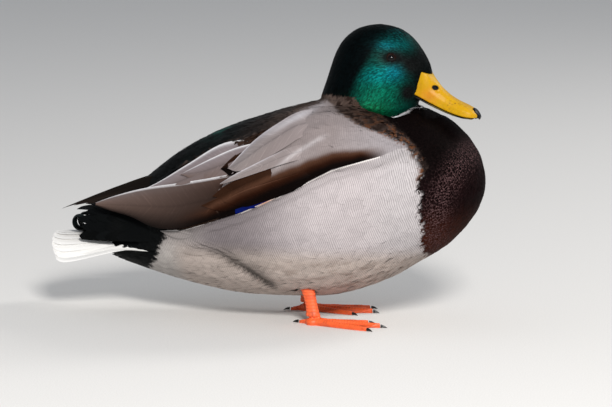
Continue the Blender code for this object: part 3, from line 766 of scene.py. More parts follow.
def unwrap(roots):
    """Each root's place on an unwrap of the skin: round the neck above, round the trunk below."""
    neck = roots[:, 2] > 160
    around_neck = np.arctan2(roots[:, 1], roots[:, 0] - 80) / math.tau + 0.5
    around_trunk = np.arctan2(roots[:, 1], roots[:, 2] - 95) / math.tau + 0.5
    first = np.where(neck, around_neck, around_trunk)
    up_neck = 0.70 + 0.28 * (roots[:, 2] - 160) / 80
    second = np.where(neck, up_neck, 0.02 + 0.64 * (roots[:, 0] + 180) / 360)
    return np.stack([0.01 + 0.97 * first, second], 1)


@dataclass
class Vanes:
    """Some feathers of one kind, and what their finish reads."""

    grid: np.ndarray        # feather, row from the root, column across, xyz
    along: np.ndarray       # each row's share of the length
    across: np.ndarray      # each column, -1 to 1
    length: np.ndarray
    half_width: np.ndarray
    colour: np.ndarray      # like the grid, rgb
    mark: np.ndarray        # for each feather: bars, fringe, a random number, 0
    flip: bool = False      # the faces run the other way round
    own_cell: bool = False  # a large feather has a cell of the bake map to itself

    def some(self, index):
        """A part of these feathers."""
        return replace(self, grid=self.grid[index], length=self.length[index],
                       half_width=self.half_width[index], colour=self.colour[index],
                       mark=self.mark[index])


def coloured(grid, paint, rng):
    """The colours of many feathers, each a random touch lighter or darker than the next."""
    count, rows, columns = grid.shape[:3]
    speck = np.repeat(rng.random(count), rows * columns)
    return paint(grid.reshape(-1, 3), speck).reshape(grid.shape)


def marks_for(rng, count, bars=0.0, fringe=None):
    """The marks of many feathers; their fringes vary at random where they have any."""
    marks = np.zeros((count, 4))
    marks[:, 0] = bars
    if fringe is not None:
        marks[:, 1] = fringe * rng.uniform(0.3, 1.0, count)
    marks[:, 2] = rng.random(count)
    return marks


def soften(obj, surface, share):
    """Turns shading normals towards the body's own, so that the vanes read as one coat."""
    points = mesh_arrays(obj)[0]
    own = mesh_normals(obj)
    body = surface.sample(points)[1]
    body = body * np.where((own * body).sum(1, keepdims=True) < 0, -1, 1)
    obj.data.normals_split_custom_set_from_vertices(unit(own * (1 - share) + body * share).tolist())


def feather_piece(name, groups, material, replaced=()):
    """Joins groups of feathers into one piece with the attributes and bake map it needs."""
    points, faces, tint, marks, vane, maps, count = [], [], [], [], [], [], 0
    cells = sum(len(group.grid) for group in groups if group.own_cell)
    cells_wide = max(1, math.ceil(math.sqrt(cells)))
    cell = 0
    for group in groups:
        number, rows, columns = group.grid.shape[:3]
        shape = (number, rows, columns)
        points.append(group.grid.reshape(-1, 3))
        quads = feather_faces(number, rows, columns) + count
        faces.append(quads[:, ::-1] if group.flip else quads)
        colour = group.colour.reshape(-1, 3)
        tint.append(np.concatenate([colour, np.ones((len(colour), 1))], 1))
        marks.append(np.broadcast_to(group.mark[:, None, None, :], (*shape, 4)).reshape(-1, 4))
        to_tip = (1 - group.along)[None, :, None] * group.length[:, None, None]
        to_tip = np.broadcast_to(to_tip, shape)
        u = np.broadcast_to(group.across[None, None, :], shape)
        wide = np.broadcast_to(group.half_width[:, None, None], shape)
        vane.append(np.stack([u, to_tip, wide], -1).reshape(-1, 3))
        local = np.stack([u * 0.5 + 0.5, np.broadcast_to(group.along[None, :, None], shape)], -1)
        if group.own_cell:
            index = np.arange(cell, cell + number)
            corner = np.stack([index % cells_wide, index // cells_wide], 1) / cells_wide
            own = corner[:, None, None, :] + (local * 0.9 + 0.05) / cells_wide
            cell += number
        else:
            start = unwrap(group.grid[:, 0, columns // 2])
            own = start[:, None, None, :] + local * PATCH
        maps.append(own.reshape(-1, 2))
        count += number * rows * columns
    obj = mesh_object(name, np.concatenate(points), np.concatenate(faces),
                      {"tint": np.concatenate(tint), "marks": np.concatenate(marks),
                       "vane": np.concatenate(vane)}, np.concatenate(maps))
    return finished(obj, material, replaced)


# ---------------------------------------------------------------- materials

BAR_PITCH = 1.6         # from one fine cross bar of a feather to the next, mm
PUPIL_EDGE = (2.55, 2.8)
IRIS_EDGE = (4.1, 4.5)  # both measured out from the eye's axis


class Nodes:
    """Short ways to write a node tree."""

    def __init__(self, name):
        self.material = bpy.data.materials.new(name)
        self.material.use_nodes = True
        self.tree = self.material.node_tree
        self.shader = self.tree.nodes["Principled BSDF"]

    def add(self, kind, inputs=(), **settings):
        node = self.tree.nodes.new(kind)
        for key, value in settings.items():
            setattr(node, key, value)
        for key, value in dict(inputs).items():
            self.feed(node.inputs[key], value)
        return node

    def feed(self, socket, value):
        if isinstance(value, bpy.types.NodeSocket):
            self.tree.links.new(value, socket)
        else:
            socket.default_value = value

    def math(self, operation, *values):
        return self.add("ShaderNodeMath", dict(enumerate(values)), operation=operation).outputs[0]

    def times(self, first, second):
        return self.math("MULTIPLY", first, second)

    def plus(self, first, second):
        return self.math("ADD", first, second)

    def less(self, first, second):
        return self.math("SUBTRACT", first, second)

    def attribute(self, name, output):
        return self.add("ShaderNodeAttribute", attribute_name=name).outputs[output]

    def split(self, vector):
        return self.add("ShaderNodeSeparateXYZ", {0: vector}).outputs

    def noise(self, vector, scale, detail):
        return self.add("ShaderNodeTexNoise",
                        {"Vector": vector, "Scale": scale, "Detail": detail}).outputs[0]

    def place(self):
        return self.add("ShaderNodeTexCoord").outputs["Object"]

    def relief(self, height, strength, distance):
        return self.add("ShaderNodeBump", {"Height": height, "Strength": strength,
                                           "Distance": distance}).outputs[0]

    def step(self, value, low, high):
        """Smoothly from 0 at the low value to 1 at the high one."""
        return self.add("ShaderNodeMapRange", {"Value": value, "From Min": low, "From Max": high},
                        interpolation_type="SMOOTHSTEP").outputs[0]

    def mix(self, share, first, second, how="MIX"):
        """A mix of two colours; 0, 6 and 7 are the node's sockets for its factor and colours."""
        return self.add("ShaderNodeMix", {0: share, 6: first, 7: second}, data_type="RGBA",
                        blend_type=how).outputs[2]

    def combine(self, x, y, z):
        return self.add("ShaderNodeCombineXYZ", {0: x, 1: y, 2: z}).outputs[0]

    def principled(self, **values):
        for key, value in values.items():
            self.feed(self.shader.inputs[key.replace("_", " ")], value)
        return self.material


def plumage(name, barb=0.25, roughness=0.6, specular=0.10, metallic=0.0,
            fringe_colour=(0.30, 0.22, 0.21, 1), bump_strength=0.35, split=0.0):
    """Fine barbs, a shaft, wavy cross bars and pale fringes, over each feather's own colour."""
    n = Nodes(name)
    u, to_tip, wide = n.split(n.attribute("vane", "Vector"))
    bars, fringe, number = n.split(n.attribute("marks", "Vector"))
    off_shaft = n.math("ABSOLUTE", u)
    slope = n.plus(to_tip, n.times(n.times(off_shaft, wide), 0.9))
    seed = n.times(number, 71.0)
    barbs = n.noise(n.combine(n.times(slope, 2.6), seed, n.times(u, 0.6)), 1.0, 3.0)
    place = n.place()
    forward, _, height = n.split(place)
    wobble = n.times(n.noise(place, 110.0, 1.0), 1.7)
    phase = n.times(n.plus(forward, n.times(height, 0.3)), 1.0 / (BAR_PITCH * MM))
    wave = n.math("SINE", n.times(n.plus(phase, wobble), math.tau))
    line = n.times(n.step(wave, -0.2, 0.9), bars)
    shaft = n.less(1.0, n.step(off_shaft, 0.0, 0.10))
    rim = n.math("MAXIMUM", n.step(off_shaft, 0.72, 0.98), n.step(to_tip, 1.6, 0.2))
    rim = n.times(rim, fringe)
    base = n.attribute("tint", "Color")
    shade = n.plus(1.0 - barb, n.times(barbs, 2 * barb))
    shade = n.times(shade, n.less(1.0, n.times(line, 0.36)))
    shade = n.times(shade, n.less(1.0, n.times(shaft, 0.12)))
    if split:
        wide_barbs = n.noise(n.combine(n.times(slope, 0.55), seed, n.times(u, 0.4)), 1.0, 2.0)
        off_parting = n.math("ABSOLUTE", n.less(wide_barbs, 0.58))
        parting = n.less(1.0, n.step(off_parting, 0.0, 0.02))
        shade = n.times(shade, n.plus(1.0, n.times(parting, split)))
    colour = n.mix(1.0, base, n.combine(shade, shade, shade), "MULTIPLY")
    colour = n.mix(rim, colour, fringe_colour)
    relief_height = n.plus(n.times(barbs, 0.6), n.times(shaft, 0.5))
    normal = n.relief(relief_height, bump_strength, 0.0002)
    return n.principled(Base_Color=colour, Roughness=roughness, Specular_IOR_Level=specular,
                        Metallic=metallic, Normal=normal)


def plain(name, colour, roughness):
    """A matt surface of one colour with a fine grain."""
    n = Nodes(name)
    darker = tuple(c * 0.8 for c in colour) + (1,)
    lighter = tuple(min(c * 1.15, 1) for c in colour) + (1,)
    grain = n.noise(n.place(), 900.0, 4.0)
    return n.principled(Base_Color=n.mix(grain, darker, lighter), Roughness=roughness)


def leathery(name, roughness, relief_strength, pores_scale, specular=0.5):
    """A smooth horny or leathery surface with fine pores, over the colours on the mesh."""
    n = Nodes(name)
    place = n.place()
    pores = n.noise(place, pores_scale, 5.0)
    broad = n.noise(place, pores_scale * 0.18, 3.0)
    shade = n.plus(0.86, n.times(broad, 0.28))
    colour = n.mix(1.0, n.attribute("tint", "Color"), n.combine(shade, shade, shade), "MULTIPLY")
    normal = n.relief(n.plus(pores, n.times(broad, 1.5)), relief_strength, 0.0004)
    rough = n.plus(roughness - 0.06, n.times(pores, 0.12))
    return n.principled(Base_Color=colour, Roughness=rough, Normal=normal,
                        Specular_IOR_Level=specular, Subsurface_Weight=0.06, Subsurface_Scale=0.002)


def eye_finish():
    """Wet dark brown iris round a black pupil."""
    n = Nodes("eye")
    off_axis = n.attribute("off_axis", "Fac")
    streaks = n.noise(n.place(), 1800.0, 3.0)
    iris = n.mix(streaks, (0.006, 0.0025, 0.0014, 1), (0.022, 0.008, 0.004, 1))
    colour = n.mix(n.step(off_axis, *PUPIL_EDGE), (0.001, 0.001, 0.001, 1), iris)
    colour = n.mix(n.step(off_axis, *IRIS_EDGE), colour, (0.004, 0.003, 0.003, 1))
    return n.principled(Base_Color=colour, Roughness=0.1, Specular_IOR_Level=0.16, Coat_Weight=0.10,
                        Coat_Roughness=0.03)


# ---------------------------------------------------------------- the coat

BILL_GAP = 0.6          # feathers stand no nearer to the bill than this
LIDS = (-0.9, 0, 0.7), (5.6, 7.0, 4.2)      # middle, from the eye's own, and radii of the bare lids
COAT_REAR = -112        # no small feathers stand farther back than this, on the tail


def clear_finder(bill_guard):
    """Tells where feathers may stand: off the bill, but on the wedge over it, and off the lids."""
    tree = BVHTree.FromObject(bill_guard, bpy.context.evaluated_depsgraph_get())
    eyes = [sum(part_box(node), Vector()) / 2 / MM for node in EYE_NODES]

    def keep_clear(points):
        clear = np.ones(len(points), bool)
        for index in np.flatnonzero(points[:, 0] > 95):
            point = Vector(points[index]) * MM
            nearest, normal, _, distance = tree.find_nearest(point)
            if distance is not None:
                clear[index] = distance >= BILL_GAP * MM and (point - nearest).dot(normal) >= 0
        for eye_centre in eyes:
            gap = (points - np.array(eye_centre) - LIDS[0]) / LIDS[1]
            clear &= (gap ** 2).sum(1) > 1
        aside = abs(points[:, 1])
        clear |= (aside < 5.0) & (points[:, 0] < 136.5 - 0.5 * aside) & (points[:, 2] > 197)
        return clear & (points[:, 0] > COAT_REAR)

    return keep_clear


PACE = 2.0              # step along the lie of the coat when looking for the field under a tip
STEPS = 20
NEAR_SURFACE = 1.2      # places on the core farther than this from the form carry no feather
COAT_TIP_REACH = 4.0    # how far a feather runs on over a border at most
HEAD_TIP_REACH = 1.5
QUILLS_COVER_X = 12     # behind this, no small feather of the wing runs on over its borders

# For each field: its finish, its record slot, and how far its shading turns to the body's own.
FINISH = {
    "head": ("head", "head_plumage", 0.35),
    "breast": ("breast", "breast_plumage", 0.5),
    "rump": ("rump", "rump_plumage", 0.4),
    "back": ("rump", "rump_plumage", 0.4),
    "mantle": ("body", "scapular_plumage", 0.6),
    "scapular": ("body", "scapular_plumage", 0.85),
    "flank": ("body", "body_plumage", 0.85),
    "belly": ("body", "body_plumage", 0.6),
    "wing": ("body", "wing_plumage", 0.5),
}


def fields_ahead(surface, roots, jitter):
    """The plumage field at each step from each root along the lie."""
    places, fields = roots, []
    for _ in range(STEPS + 1):
        fields.append(tract_of(places, jitter))
        places = places + lie_at(places, surface.sample(places)[1]) * PACE
        places = surface.lay(places, 0.0)[0]
    return np.stack(fields, 1)


def planned(surface, core, keep_clear, border_at, rng):
    """Where each feather stands, the field of its tip, its length and size, and what crosses.

    A feather that crosses a border takes the far field's look and ends soon after it. The field
    is empty for those that the wing's quills would cover.
    """

    def spacing_at(points):
        tract = tract_of(points, np.zeros(len(points)))
        spacing = np.array([TRACTS[name].spacing for name in tract])
        return spacing * size_at(points, tract, border_at(points))

    roots = scatter(core, spacing_at, 7)
    roots = roots[keep_clear(roots) & (abs(surface.sample(roots)[0]) < NEAR_SURFACE)]
    fields = fields_ahead(surface, roots, rng.normal(0, 0.5, len(roots)))
    own = fields[:, 0]
    size = size_at(roots, own, border_at(roots))
    length = np.array([TRACTS[name].length for name in own]) * size
    tip_step = np.clip(np.round(length * 0.9 / PACE).astype(int), 1, STEPS)
    field = fields[np.arange(len(roots)), tip_step]
    for pair in (("flank", "belly"), ("back", "rump")):
        field = np.where(np.isin(own, pair) & np.isin(field, pair), own, field)
    entry = (fields == field[:, None]).argmax(1) * PACE
    crosses = field != own
    past = np.where(own == "head", HEAD_TIP_REACH, COAT_TIP_REACH)
    length = np.where(crosses, entry + rng.uniform(0.5, past, len(roots)), length)
    full = np.array([TRACTS[name].length for name in field])
    size = np.where(crosses, np.clip(length / full, 0.2, 1) ** 0.7, size)
    field[crosses & (own == "wing") & (roots[:, 0] < QUILLS_COVER_X)] = ""
    return roots, field, length, size, crosses


def coat(surface, core, keep_clear):
    """All the small feathers, field by field, and the white ring."""
    border_at = border_finder(core)
    rng = np.random.default_rng(21)
    roots, field, length, size, crosses = planned(surface, core, keep_clear, border_at, rng)
    materials = {
        "head": plumage("head_feathers", roughness=0.5, metallic=0.45, specular=0.04,
                        bump_strength=0.4),
        "breast": plumage("breast_feathers", barb=0.35, specular=0.015,
                          fringe_colour=(0.125, 0.070, 0.072, 1)),
        "rump": plumage("rump_feathers", barb=0.4, roughness=0.5, specular=0.04),
        "body": plumage("body_feathers", barb=0.07, roughness=0.75, specular=0.03,
                        fringe_colour=(0.75, 0.72, 0.70, 1)),
    }
    for name, tract in TRACTS.items():
        chosen = field == name
        places, over, long = roots[chosen], crosses[chosen], length[chosen]
        wide = tract.half_width * size[chosen]
        wide = np.where(over, np.minimum(wide, 0.6 + 0.10 * long), wide)
        if name == "head":
            lower = ease(195, 165, places[:, 2]) * ease(3, 9, border_at(places))
            long, wide = long * (1 + 0.5 * lower), wide * (1 + 0.4 * lower)
        blunt = POINTED if name in ("head", "belly") else BLUNT
        vanes = grow(surface, places, long, wide, tract.lift, tract.loose, tract.rows,
                     tract.columns, rng, blunt, np.where(over, DEEP_ROOT, SHALLOW_ROOT))
        grid = vanes[0]
        colour = coloured(grid, tract.paint, rng)
        fringe = 0.0
        if name == "breast":
            fringe = breast_fringe(grid[:, tract.rows // 2, tract.columns // 2])
        feathers = Vanes(*vanes, colour, marks_for(rng, len(grid), tract.bars, fringe))
        material, slot, softness = FINISH[name]
        parts = np.array_split(np.arange(len(grid)), 2 if name == "head" else 1)
        for part, index in enumerate(parts):
            title = f"{name}_feathers" + ("_lower" if part else "")
            obj = feather_piece(title, [feathers.some(index)], materials[material])
            soften(obj, surface, softness)
    neck_ring(surface, materials["body"], rng)


def neck_ring(surface, material, rng):
    """The thin white ring round the neck, open at the back."""
    angle = np.repeat(np.radians(np.arange(-116.0, 116.1, 0.8)), 2)
    angle = angle + rng.normal(0, 0.006, len(angle))
    ways = np.stack([np.cos(angle), np.sin(angle), 0 * angle], 1)
    places = np.tile((86.0, 0.0, 172.0), (len(angle), 1))
    root_rise = np.tile((0.8, 0.4), len(angle) // 2)
    for _ in range(5):
        found = surface.outermost(places, ways, 43.0)
        places[:, 2] = ring_height(found[:, 0]) + root_rise - RING_DROP
    shown = (found[:, 0] > 107) & (abs(found[:, 1]) < 34)
    found, root_rise = found[shown], root_rise[shown]
    count, rows, columns = len(found), 5, 3
    length = root_rise + 1.0 * ease(104, 113, found[:, 0])
    length = length * rng.uniform(0.97, 1.03, count)
    vanes = grow(surface, found, length, 0.9, 0.66, 0.15, rows, columns, rng, 0.6)
    grid = vanes[0]
    for row, height in enumerate(np.linspace(0.3, 1.0, rows)):
        laid = surface.lay(grid[:, row].reshape(-1, 3), height)[0]
        grid[:, row] = laid.reshape(count, columns, 3)
    colour = coloured(grid, paint_ring, rng)
    ring = feather_piece("neck_ring", [Vanes(*vanes, colour, marks_for(rng, count))], material)
    soften(ring, surface, 0.6)


SKIN_SPECK = 0.4        # the skin is a little darker than a middling feather of its field


def make_skin(form):
    """The skin under the coat, in place of the body's solids, with the coat's markings."""
    points = mesh_arrays(form)[0]
    points = points - mesh_normals(form) * (coat_depth(points) - relief(points))[:, None]
    tract = tract_of(points, np.zeros(len(points)))
    colour = np.zeros((len(points), 3))
    for name, row in TRACTS.items():
        here = tract == name
        if here.any():
            colour[here] = row.paint(points[here], np.full(here.sum(), SKIN_SPECK))
    obj = form.copy()
    obj.data = form.data.copy()
    obj.name = "skin"
    move(obj, points)
    bpy.context.scene.collection.objects.link(obj)
    set_tint(obj, colour)
    n = Nodes("skin")
    material = n.principled(Base_Color=n.attribute("tint", "Color"), Roughness=0.8,
                            Specular_IOR_Level=0.05)
    return finished(obj, material, FLESH)


# ---------------------------------------------------------------- quills

ACROSS = np.array([-1, -0.92, -0.8, -0.55, -0.28, -0.07, 0, 0.07, 0.28, 0.55, 0.76, 0.86, 0.93, 1])


def through(stations, count):
    """A smooth curve through a few stations, with that many points."""
    stations = np.asarray(stations, float)
    knots = np.concatenate([[0], np.cumsum(np.linalg.norm(np.diff(stations, axis=0), axis=1))])
    places = np.linspace(0, knots[-1], count)
    slopes = np.gradient(stations, knots, axis=0)
    before = np.clip(np.searchsorted(knots, places, side="right") - 1, 0, len(knots) - 2)
    gap = (knots[before + 1] - knots[before])[:, None]
    t = (places - knots[before])[:, None] / gap
    return ((2 * t ** 3 - 3 * t ** 2 + 1) * stations[before]
            + (t ** 3 - 2 * t ** 2 + t) * gap * slopes[before]
            + (3 * t ** 2 - 2 * t ** 3) * stations[before + 1]
            + (t ** 3 - t ** 2) * gap * slopes[before + 1])


def smoothed(grid, rounds):
    """A grid of values with each one drawn towards its neighbours along the rows and columns."""
    for _ in range(rounds):
        for axis in (0, 1):
            ends = [(1, 1) if k == axis else (0, 0) for k in range(grid.ndim)]
            padded = np.pad(grid, ends, mode="edge")
            before = np.take(padded, range(0, grid.shape[axis]), axis)
            after = np.take(padded, range(2, grid.shape[axis] + 2), axis)
            grid = 0.5 * grid + 0.25 * (before + after)
    return grid


class Solids:
    """Some CAD nodes as one set of faces, to lay quills on."""

    def __init__(self, nodes):
        self.points, faces = gathered(nodes)
        self.tree = BVHTree.FromPolygons(self.points.tolist(), faces)

    def side_on(self, flat, side):
        """The outermost points on one side of the bird at a grid of x and z."""
        made = np.zeros((*flat.shape[:2], 3))
        for row, column in np.ndindex(*flat.shape[:2]):
            x, z = flat[row, column]
            hit = self.tree.ray_cast(Vector((x, side * 120, z)), Vector((0, -side, 0)))[0]
            if hit is None or hit.y * side < 0:
                hit = self.tree.find_nearest(Vector((x, side * 55, z)))[0]
            made[row, column] = (x, hit.y, z)
        return made

    def from_above(self, x, y):
        hit = self.tree.ray_cast(Vector((x, y, 200)), Vector((0, 0, -1)))[0]
        return hit.z if hit else self.tree.find_nearest(Vector((x, y, 70)))[0].z


QUILL_SINK = 3.2        # how far a quill's root lies under the coat's surface


def quill(points, outward, side, height, paint, rng, ridge=0.30, camber=0.6):
    """One large feather from a grid of points, raised to its height in the stack."""
    rows, columns = points.shape[:2]
    along = np.linspace(0, 1, rows)
    u = np.broadcast_to(ACROSS[None, :], (rows, columns))
    t = np.broadcast_to(along[:, None], (rows, columns))
    rise = -QUILL_SINK + (height + QUILL_SINK) * ease(0.0, 0.3, t) + 0.25 * t
    rise = rise + ridge * np.exp(-(u / 0.05) ** 2) * (1 - t) - camber * u ** 2 * ease(1, 0.6, t)
    grid = points + outward * rise[..., None]
    spine = grid[:, columns // 2]
    length = np.linalg.norm(np.diff(spine, axis=0), axis=1).sum()
    half_width = np.linalg.norm(grid[:, 0] - grid[:, -1], axis=1).max() / 2
    colour = paint(u, t, grid)
    return Vanes(grid[None], along, ACROSS, np.array([length]), np.array([half_width]),
                 colour[None], marks_for(rng, 1), flip=side < 0, own_cell=True)


def elevation_quill(solids, surface, upper, lower, side, height, paint, rng, rows=30,
                    tuck=0.0, lift=0.0):
    """A quill given by its two edges as seen from the side, laid on the wing."""
    top, bottom = through(upper, rows), through(lower, rows)
    share = (ACROSS + 1) / 2
    flat = bottom[:, None] + (top - bottom)[:, None] * share[None, :, None]
    points = solids.side_on(flat, side)
    points[..., 1] = smoothed(points[..., 1], 3) - side * tuck * ease(0.2, -0.9, ACROSS)
    normal = surface.sample(points.reshape(-1, 3))[1].reshape(points.shape)
    normal = unit(smoothed(normal, 4) + np.array([0, side * 0.5, 0]))
    points = points + normal * (lift * ease(0.45, 0.75, np.linspace(0, 1, rows)))[:, None, None]
    return quill(points, normal, side, height, paint, rng)


def shades(u, t, *stops):
    """Colours across a vane: each stop is a place u and the colours at the root and the tip."""
    places = [stop[0] for stop in stops]
    made = np.zeros((*u.shape, 3))
    for channel in range(3):
        root = np.interp(u, places, [stop[1][channel] for stop in stops])
        tip = np.interp(u, places, [stop[2][channel] for stop in stops])
        made[..., channel] = root + (tip - root) * t
    return made


WHITE_EDGE = (0.56, 0.55, 0.57)
GREY = (0.215, 0.183, 0.192)
GREY_BROWN = (0.125, 0.088, 0.077)
DARK = (0.0024, 0.0013, 0.0010)
DARK_BROWN = (0.016, 0.006, 0.003)
SPECULUM = (0.001, 0.006, 0.110)


def on_quill(paint, points, *values):
    """One of the coat's paints over the grid of a quill."""
    return paint(points.reshape(-1, 3), *values).reshape(points.shape)


def paint_inner_tertial(u, t, _):
    colour = shades(u, t,
                    (-1, GREY_BROWN, GREY_BROWN),
                    (0.0, (0.165, 0.130, 0.127), (0.150, 0.118, 0.116)),
                    (0.84, GREY, GREY),
                    (0.91, WHITE_EDGE, WHITE_EDGE),
                    (1, WHITE_EDGE, WHITE_EDGE))
    return blend(colour, (0.030, 0.020, 0.016), ease(0.24, 0.12, t))


def paint_long_tertial(u, t, points):
    colour = shades(u, t ** 1.2,
                    (-1, DARK, (0.012, 0.008, 0.007)),
                    (-0.72, DARK, (0.030, 0.020, 0.017)),
                    (-0.2, (0.006, 0.0018, 0.0008), (0.090, 0.060, 0.050)),
                    (0.5, (0.012, 0.0036, 0.0014), GREY_BROWN),
                    (0.90, (0.048, 0.022, 0.013), (0.14, 0.115, 0.112)),
                    (0.95, WHITE_EDGE, WHITE_EDGE),
                    (1, WHITE_EDGE, WHITE_EDGE))
    band = on_quill(brown_band, points, colour.reshape(-1, 3))
    return blend(colour, band, ease(0.55, 0.2, t) * ease(0.9, 0.7, u))


def paint_covert(u, t, points):
    colour = on_quill(brown_band, points, np.tile((0.024, 0.0095, 0.0048), (u.size, 1)))
    return blend(colour, colour * 2.0 + 0.006, ease(0.90, 1.0, u) * ease(0.2, 0.6, t))


def paint_dark(u, t, _):
    return shades(u, t,
                  (-1, DARK, DARK),
                  (0, DARK_BROWN, DARK),
                  (0.8, (0.045, 0.017, 0.009), DARK_BROWN),
                  (1, (0.09, 0.05, 0.035), DARK))


def paint_speculum(u, t, _):
    return shades(u, t,
                  (-1, SPECULUM, SPECULUM),
                  (0.75, SPECULUM, (0.002, 0.006, 0.05)),
                  (1, DARK, DARK))


def paint_scapular_quill(u, t, points):
    own = on_quill(paint_scapular, points, np.full(u.size, 0.5))
    grey = shades(u, t,
                  (-1, (0.15, 0.118, 0.110), (0.19, 0.158, 0.152)),
                  (0.70, (0.21, 0.178, 0.176), (0.25, 0.225, 0.228)),
                  (0.86, (0.40, 0.38, 0.40), (0.42, 0.40, 0.43)),
                  (1, (0.48, 0.46, 0.49), (0.48, 0.46, 0.49)))
    return blend(own, grey, ease(0.25, 0.7, t) * ease(-1.3, -0.2, u) * 0.9)


def paint_flank_quill(u, t, points):
    own = on_quill(paint_flank, points, np.full(u.size, 0.5))
    # a painted highlight along the upper edge, turning orange-brown near x = 22
    here = np.exp(-((points[..., 0] - 22) / 6.0) ** 2)
    edge = blend(np.broadcast_to((0.72, 0.68, 0.66), points.shape), (0.62, 0.28, 0.15), here * 0.85)
    return blend(own, edge, ease(0.84, 0.94, u) * 0.9)


# quill: height in the stack, upper edge and lower edge as x and z from root to tip, paint
WING_QUILLS = {
    "speculum_1": (
        0.3, [(60, 121), (30, 109), (12, 103), (-4, 96)],
        [(58, 115), (30, 101), (12, 95), (-4, 92)], paint_speculum),
    "speculum_2": (
        0.5, [(66, 125), (44, 116), (22, 107), (8, 100.5)],
        [(64, 119), (44, 109), (22, 100), (8, 96.5)], paint_speculum),
    "under_tertial": (
        0.5, [(0, 118), (-40, 108), (-80, 99), (-122, 87)],
        [(0, 94), (-32, 83), (-56, 76), (-90, 78), (-122, 87)], paint_dark),
    "inner_tertial": (
        0.6, [(22, 158), (5.8, 151.4), (-26.9, 141.7), (-54.1, 125.2), (-87.8, 105), (-131, 88.9)],
        [(22, 135), (0, 118), (-30, 108), (-60, 101), (-90, 95), (-131, 88.9)],
        paint_inner_tertial),
    "short_tertial": (
        0.9, [(26, 152), (8, 146.5), (-10, 141), (-32, 131), (-58, 117)],
        [(26, 136), (5, 126), (-16, 119), (-38, 114), (-58, 117)], paint_inner_tertial),
    "dark_covert": (
        1.1, [(22, 156), (4, 145), (-10, 134.5), (-19, 125)],
        [(22, 142), (4, 130), (-9, 121), (-19, 125)], paint_dark),
    "long_tertial": (
        1.0, [(16, 131), (-16.2, 120.6), (-50, 112.5), (-83.4, 104.8), (-131.9, 88.6)],
        [(16, 100), (-10, 91), (-36, 82), (-60, 75.5), (-85, 77), (-108, 82.5), (-131.9, 88.6)],
        paint_long_tertial),
    "covert_1": (
        1.4, [(60, 131), (36, 121), (8, 112), (-18, 104), (-34, 96)],
        [(60, 121), (36, 110), (8, 100), (-14, 93), (-34, 96)], paint_covert),
    "covert_2": (
        1.8, [(74, 137), (50, 127), (24, 118), (2, 110), (-14, 101)],
        [(74, 127), (50, 115), (24, 104.5), (2, 98), (-14, 101)], paint_covert),
    "covert_3": (
        1.6, [(40, 136), (20, 128), (0, 120), (-14, 112.5), (-24, 104)],
        [(40, 126), (20, 117), (2, 109), (-12, 103), (-24, 104)], paint_covert),
    "streak_scapular": (
        2.4, [(68, 175), (54, 172.5), (39.2, 169), (25.2, 160.5), (7.4, 147), (-4.0, 134.5),
              (-11.5, 126)],
        [(68, 160), (54, 156), (40, 147), (22, 136), (6, 127), (-4, 124.5), (-11.5, 126)],
        paint_scapular_quill),
    "long_scapular": (
        2.8, [(66, 154), (38, 144), (14, 132), (-4, 122), (-15.5, 114.2)],
        [(66, 142), (40, 134), (21, 127), (3, 120.5), (-15.5, 114.2)], paint_scapular_quill),
}


LONG_TERTIAL_LIFT = 2.0     # its outer half stands off the body, over the primaries


def wing_quills(solids, surface, rng):
    """Tertials, coverts and the blue speculum's edge, on each wing."""
    made = []
    for side in SIDES.values():
        for height, upper, lower, paint in WING_QUILLS.values():
            lift = LONG_TERTIAL_LIFT if paint is paint_long_tertial else 0.0
            made.append(elevation_quill(solids, surface, upper, lower, side, height, paint, rng,
                                        lift=lift))
    return made


def flank_quills(solids, surface, rng):
    """The long feathers along the top of the flank, which overlap the wing's lower edge."""
    made = []
    for side in SIDES.values():
        for number, start in enumerate(range(122, -42, -17)):
            x = np.linspace(start, start - 44, 5)
            line = flank_top_z(x)
            upper = np.stack([x, line + [0.0, 0.4, 0.5, 0.3, -1.0]], 1)
            lower = np.stack([x, line - [9, 14, 15, 11, 1.0]], 1)
            made.append(elevation_quill(solids, surface, upper, lower, side, 1.5 - 0.04 * number,
                                        paint_flank_quill, rng, rows=18, tuck=2.6))
            made[-1].mark[:, 0] = 0.8
    return made


def paint_primary(u, t, _):
    pale, root = (0.035, 0.026, 0.021), (0.004, 0.003, 0.0025)
    return shades(u, t,
                  (-1, pale, pale),
                  (-0.93, (0.007, 0.005, 0.004), (0.014, 0.010, 0.008)),
                  (0.0, root, (0.010, 0.007, 0.006)),
                  (0.9, root, (0.012, 0.009, 0.007)),
                  (1, pale, pale))


PRIMARY_BANDS = (       # from and to, as shares of the slab's height, and how far short of its tip
    (0.0, 0.45, 33),
    (0.12, 0.62, 22),
    (0.28, 0.80, 11),
    (0.45, 1.0, 0),
)
PRIMARY_ROWS = 34


def slab_edges(points):
    """The upper and lower edge of a flight feather slab, root to tip, from its rows of points.

    Stray rows, where another solid's face cuts through the slab, are left out.
    """
    upper, lower = [], []
    for x in sorted({round(x, 1) for x in points[:, 0]}, reverse=True):
        here = points[abs(points[:, 0] - x) < 0.06]
        if np.ptp(here[:, 2]) > 3 or x < -100:
            upper.append(here[here[:, 2].argmax()])
            lower.append(here[here[:, 2].argmin()])
    return through(upper, 60), through(lower, 60)


def at_x(edge, x):
    """The points of an edge that runs back at some x."""
    return np.stack([np.interp(-x, -edge[:, 0], edge[:, axis]) for axis in range(3)], 1)


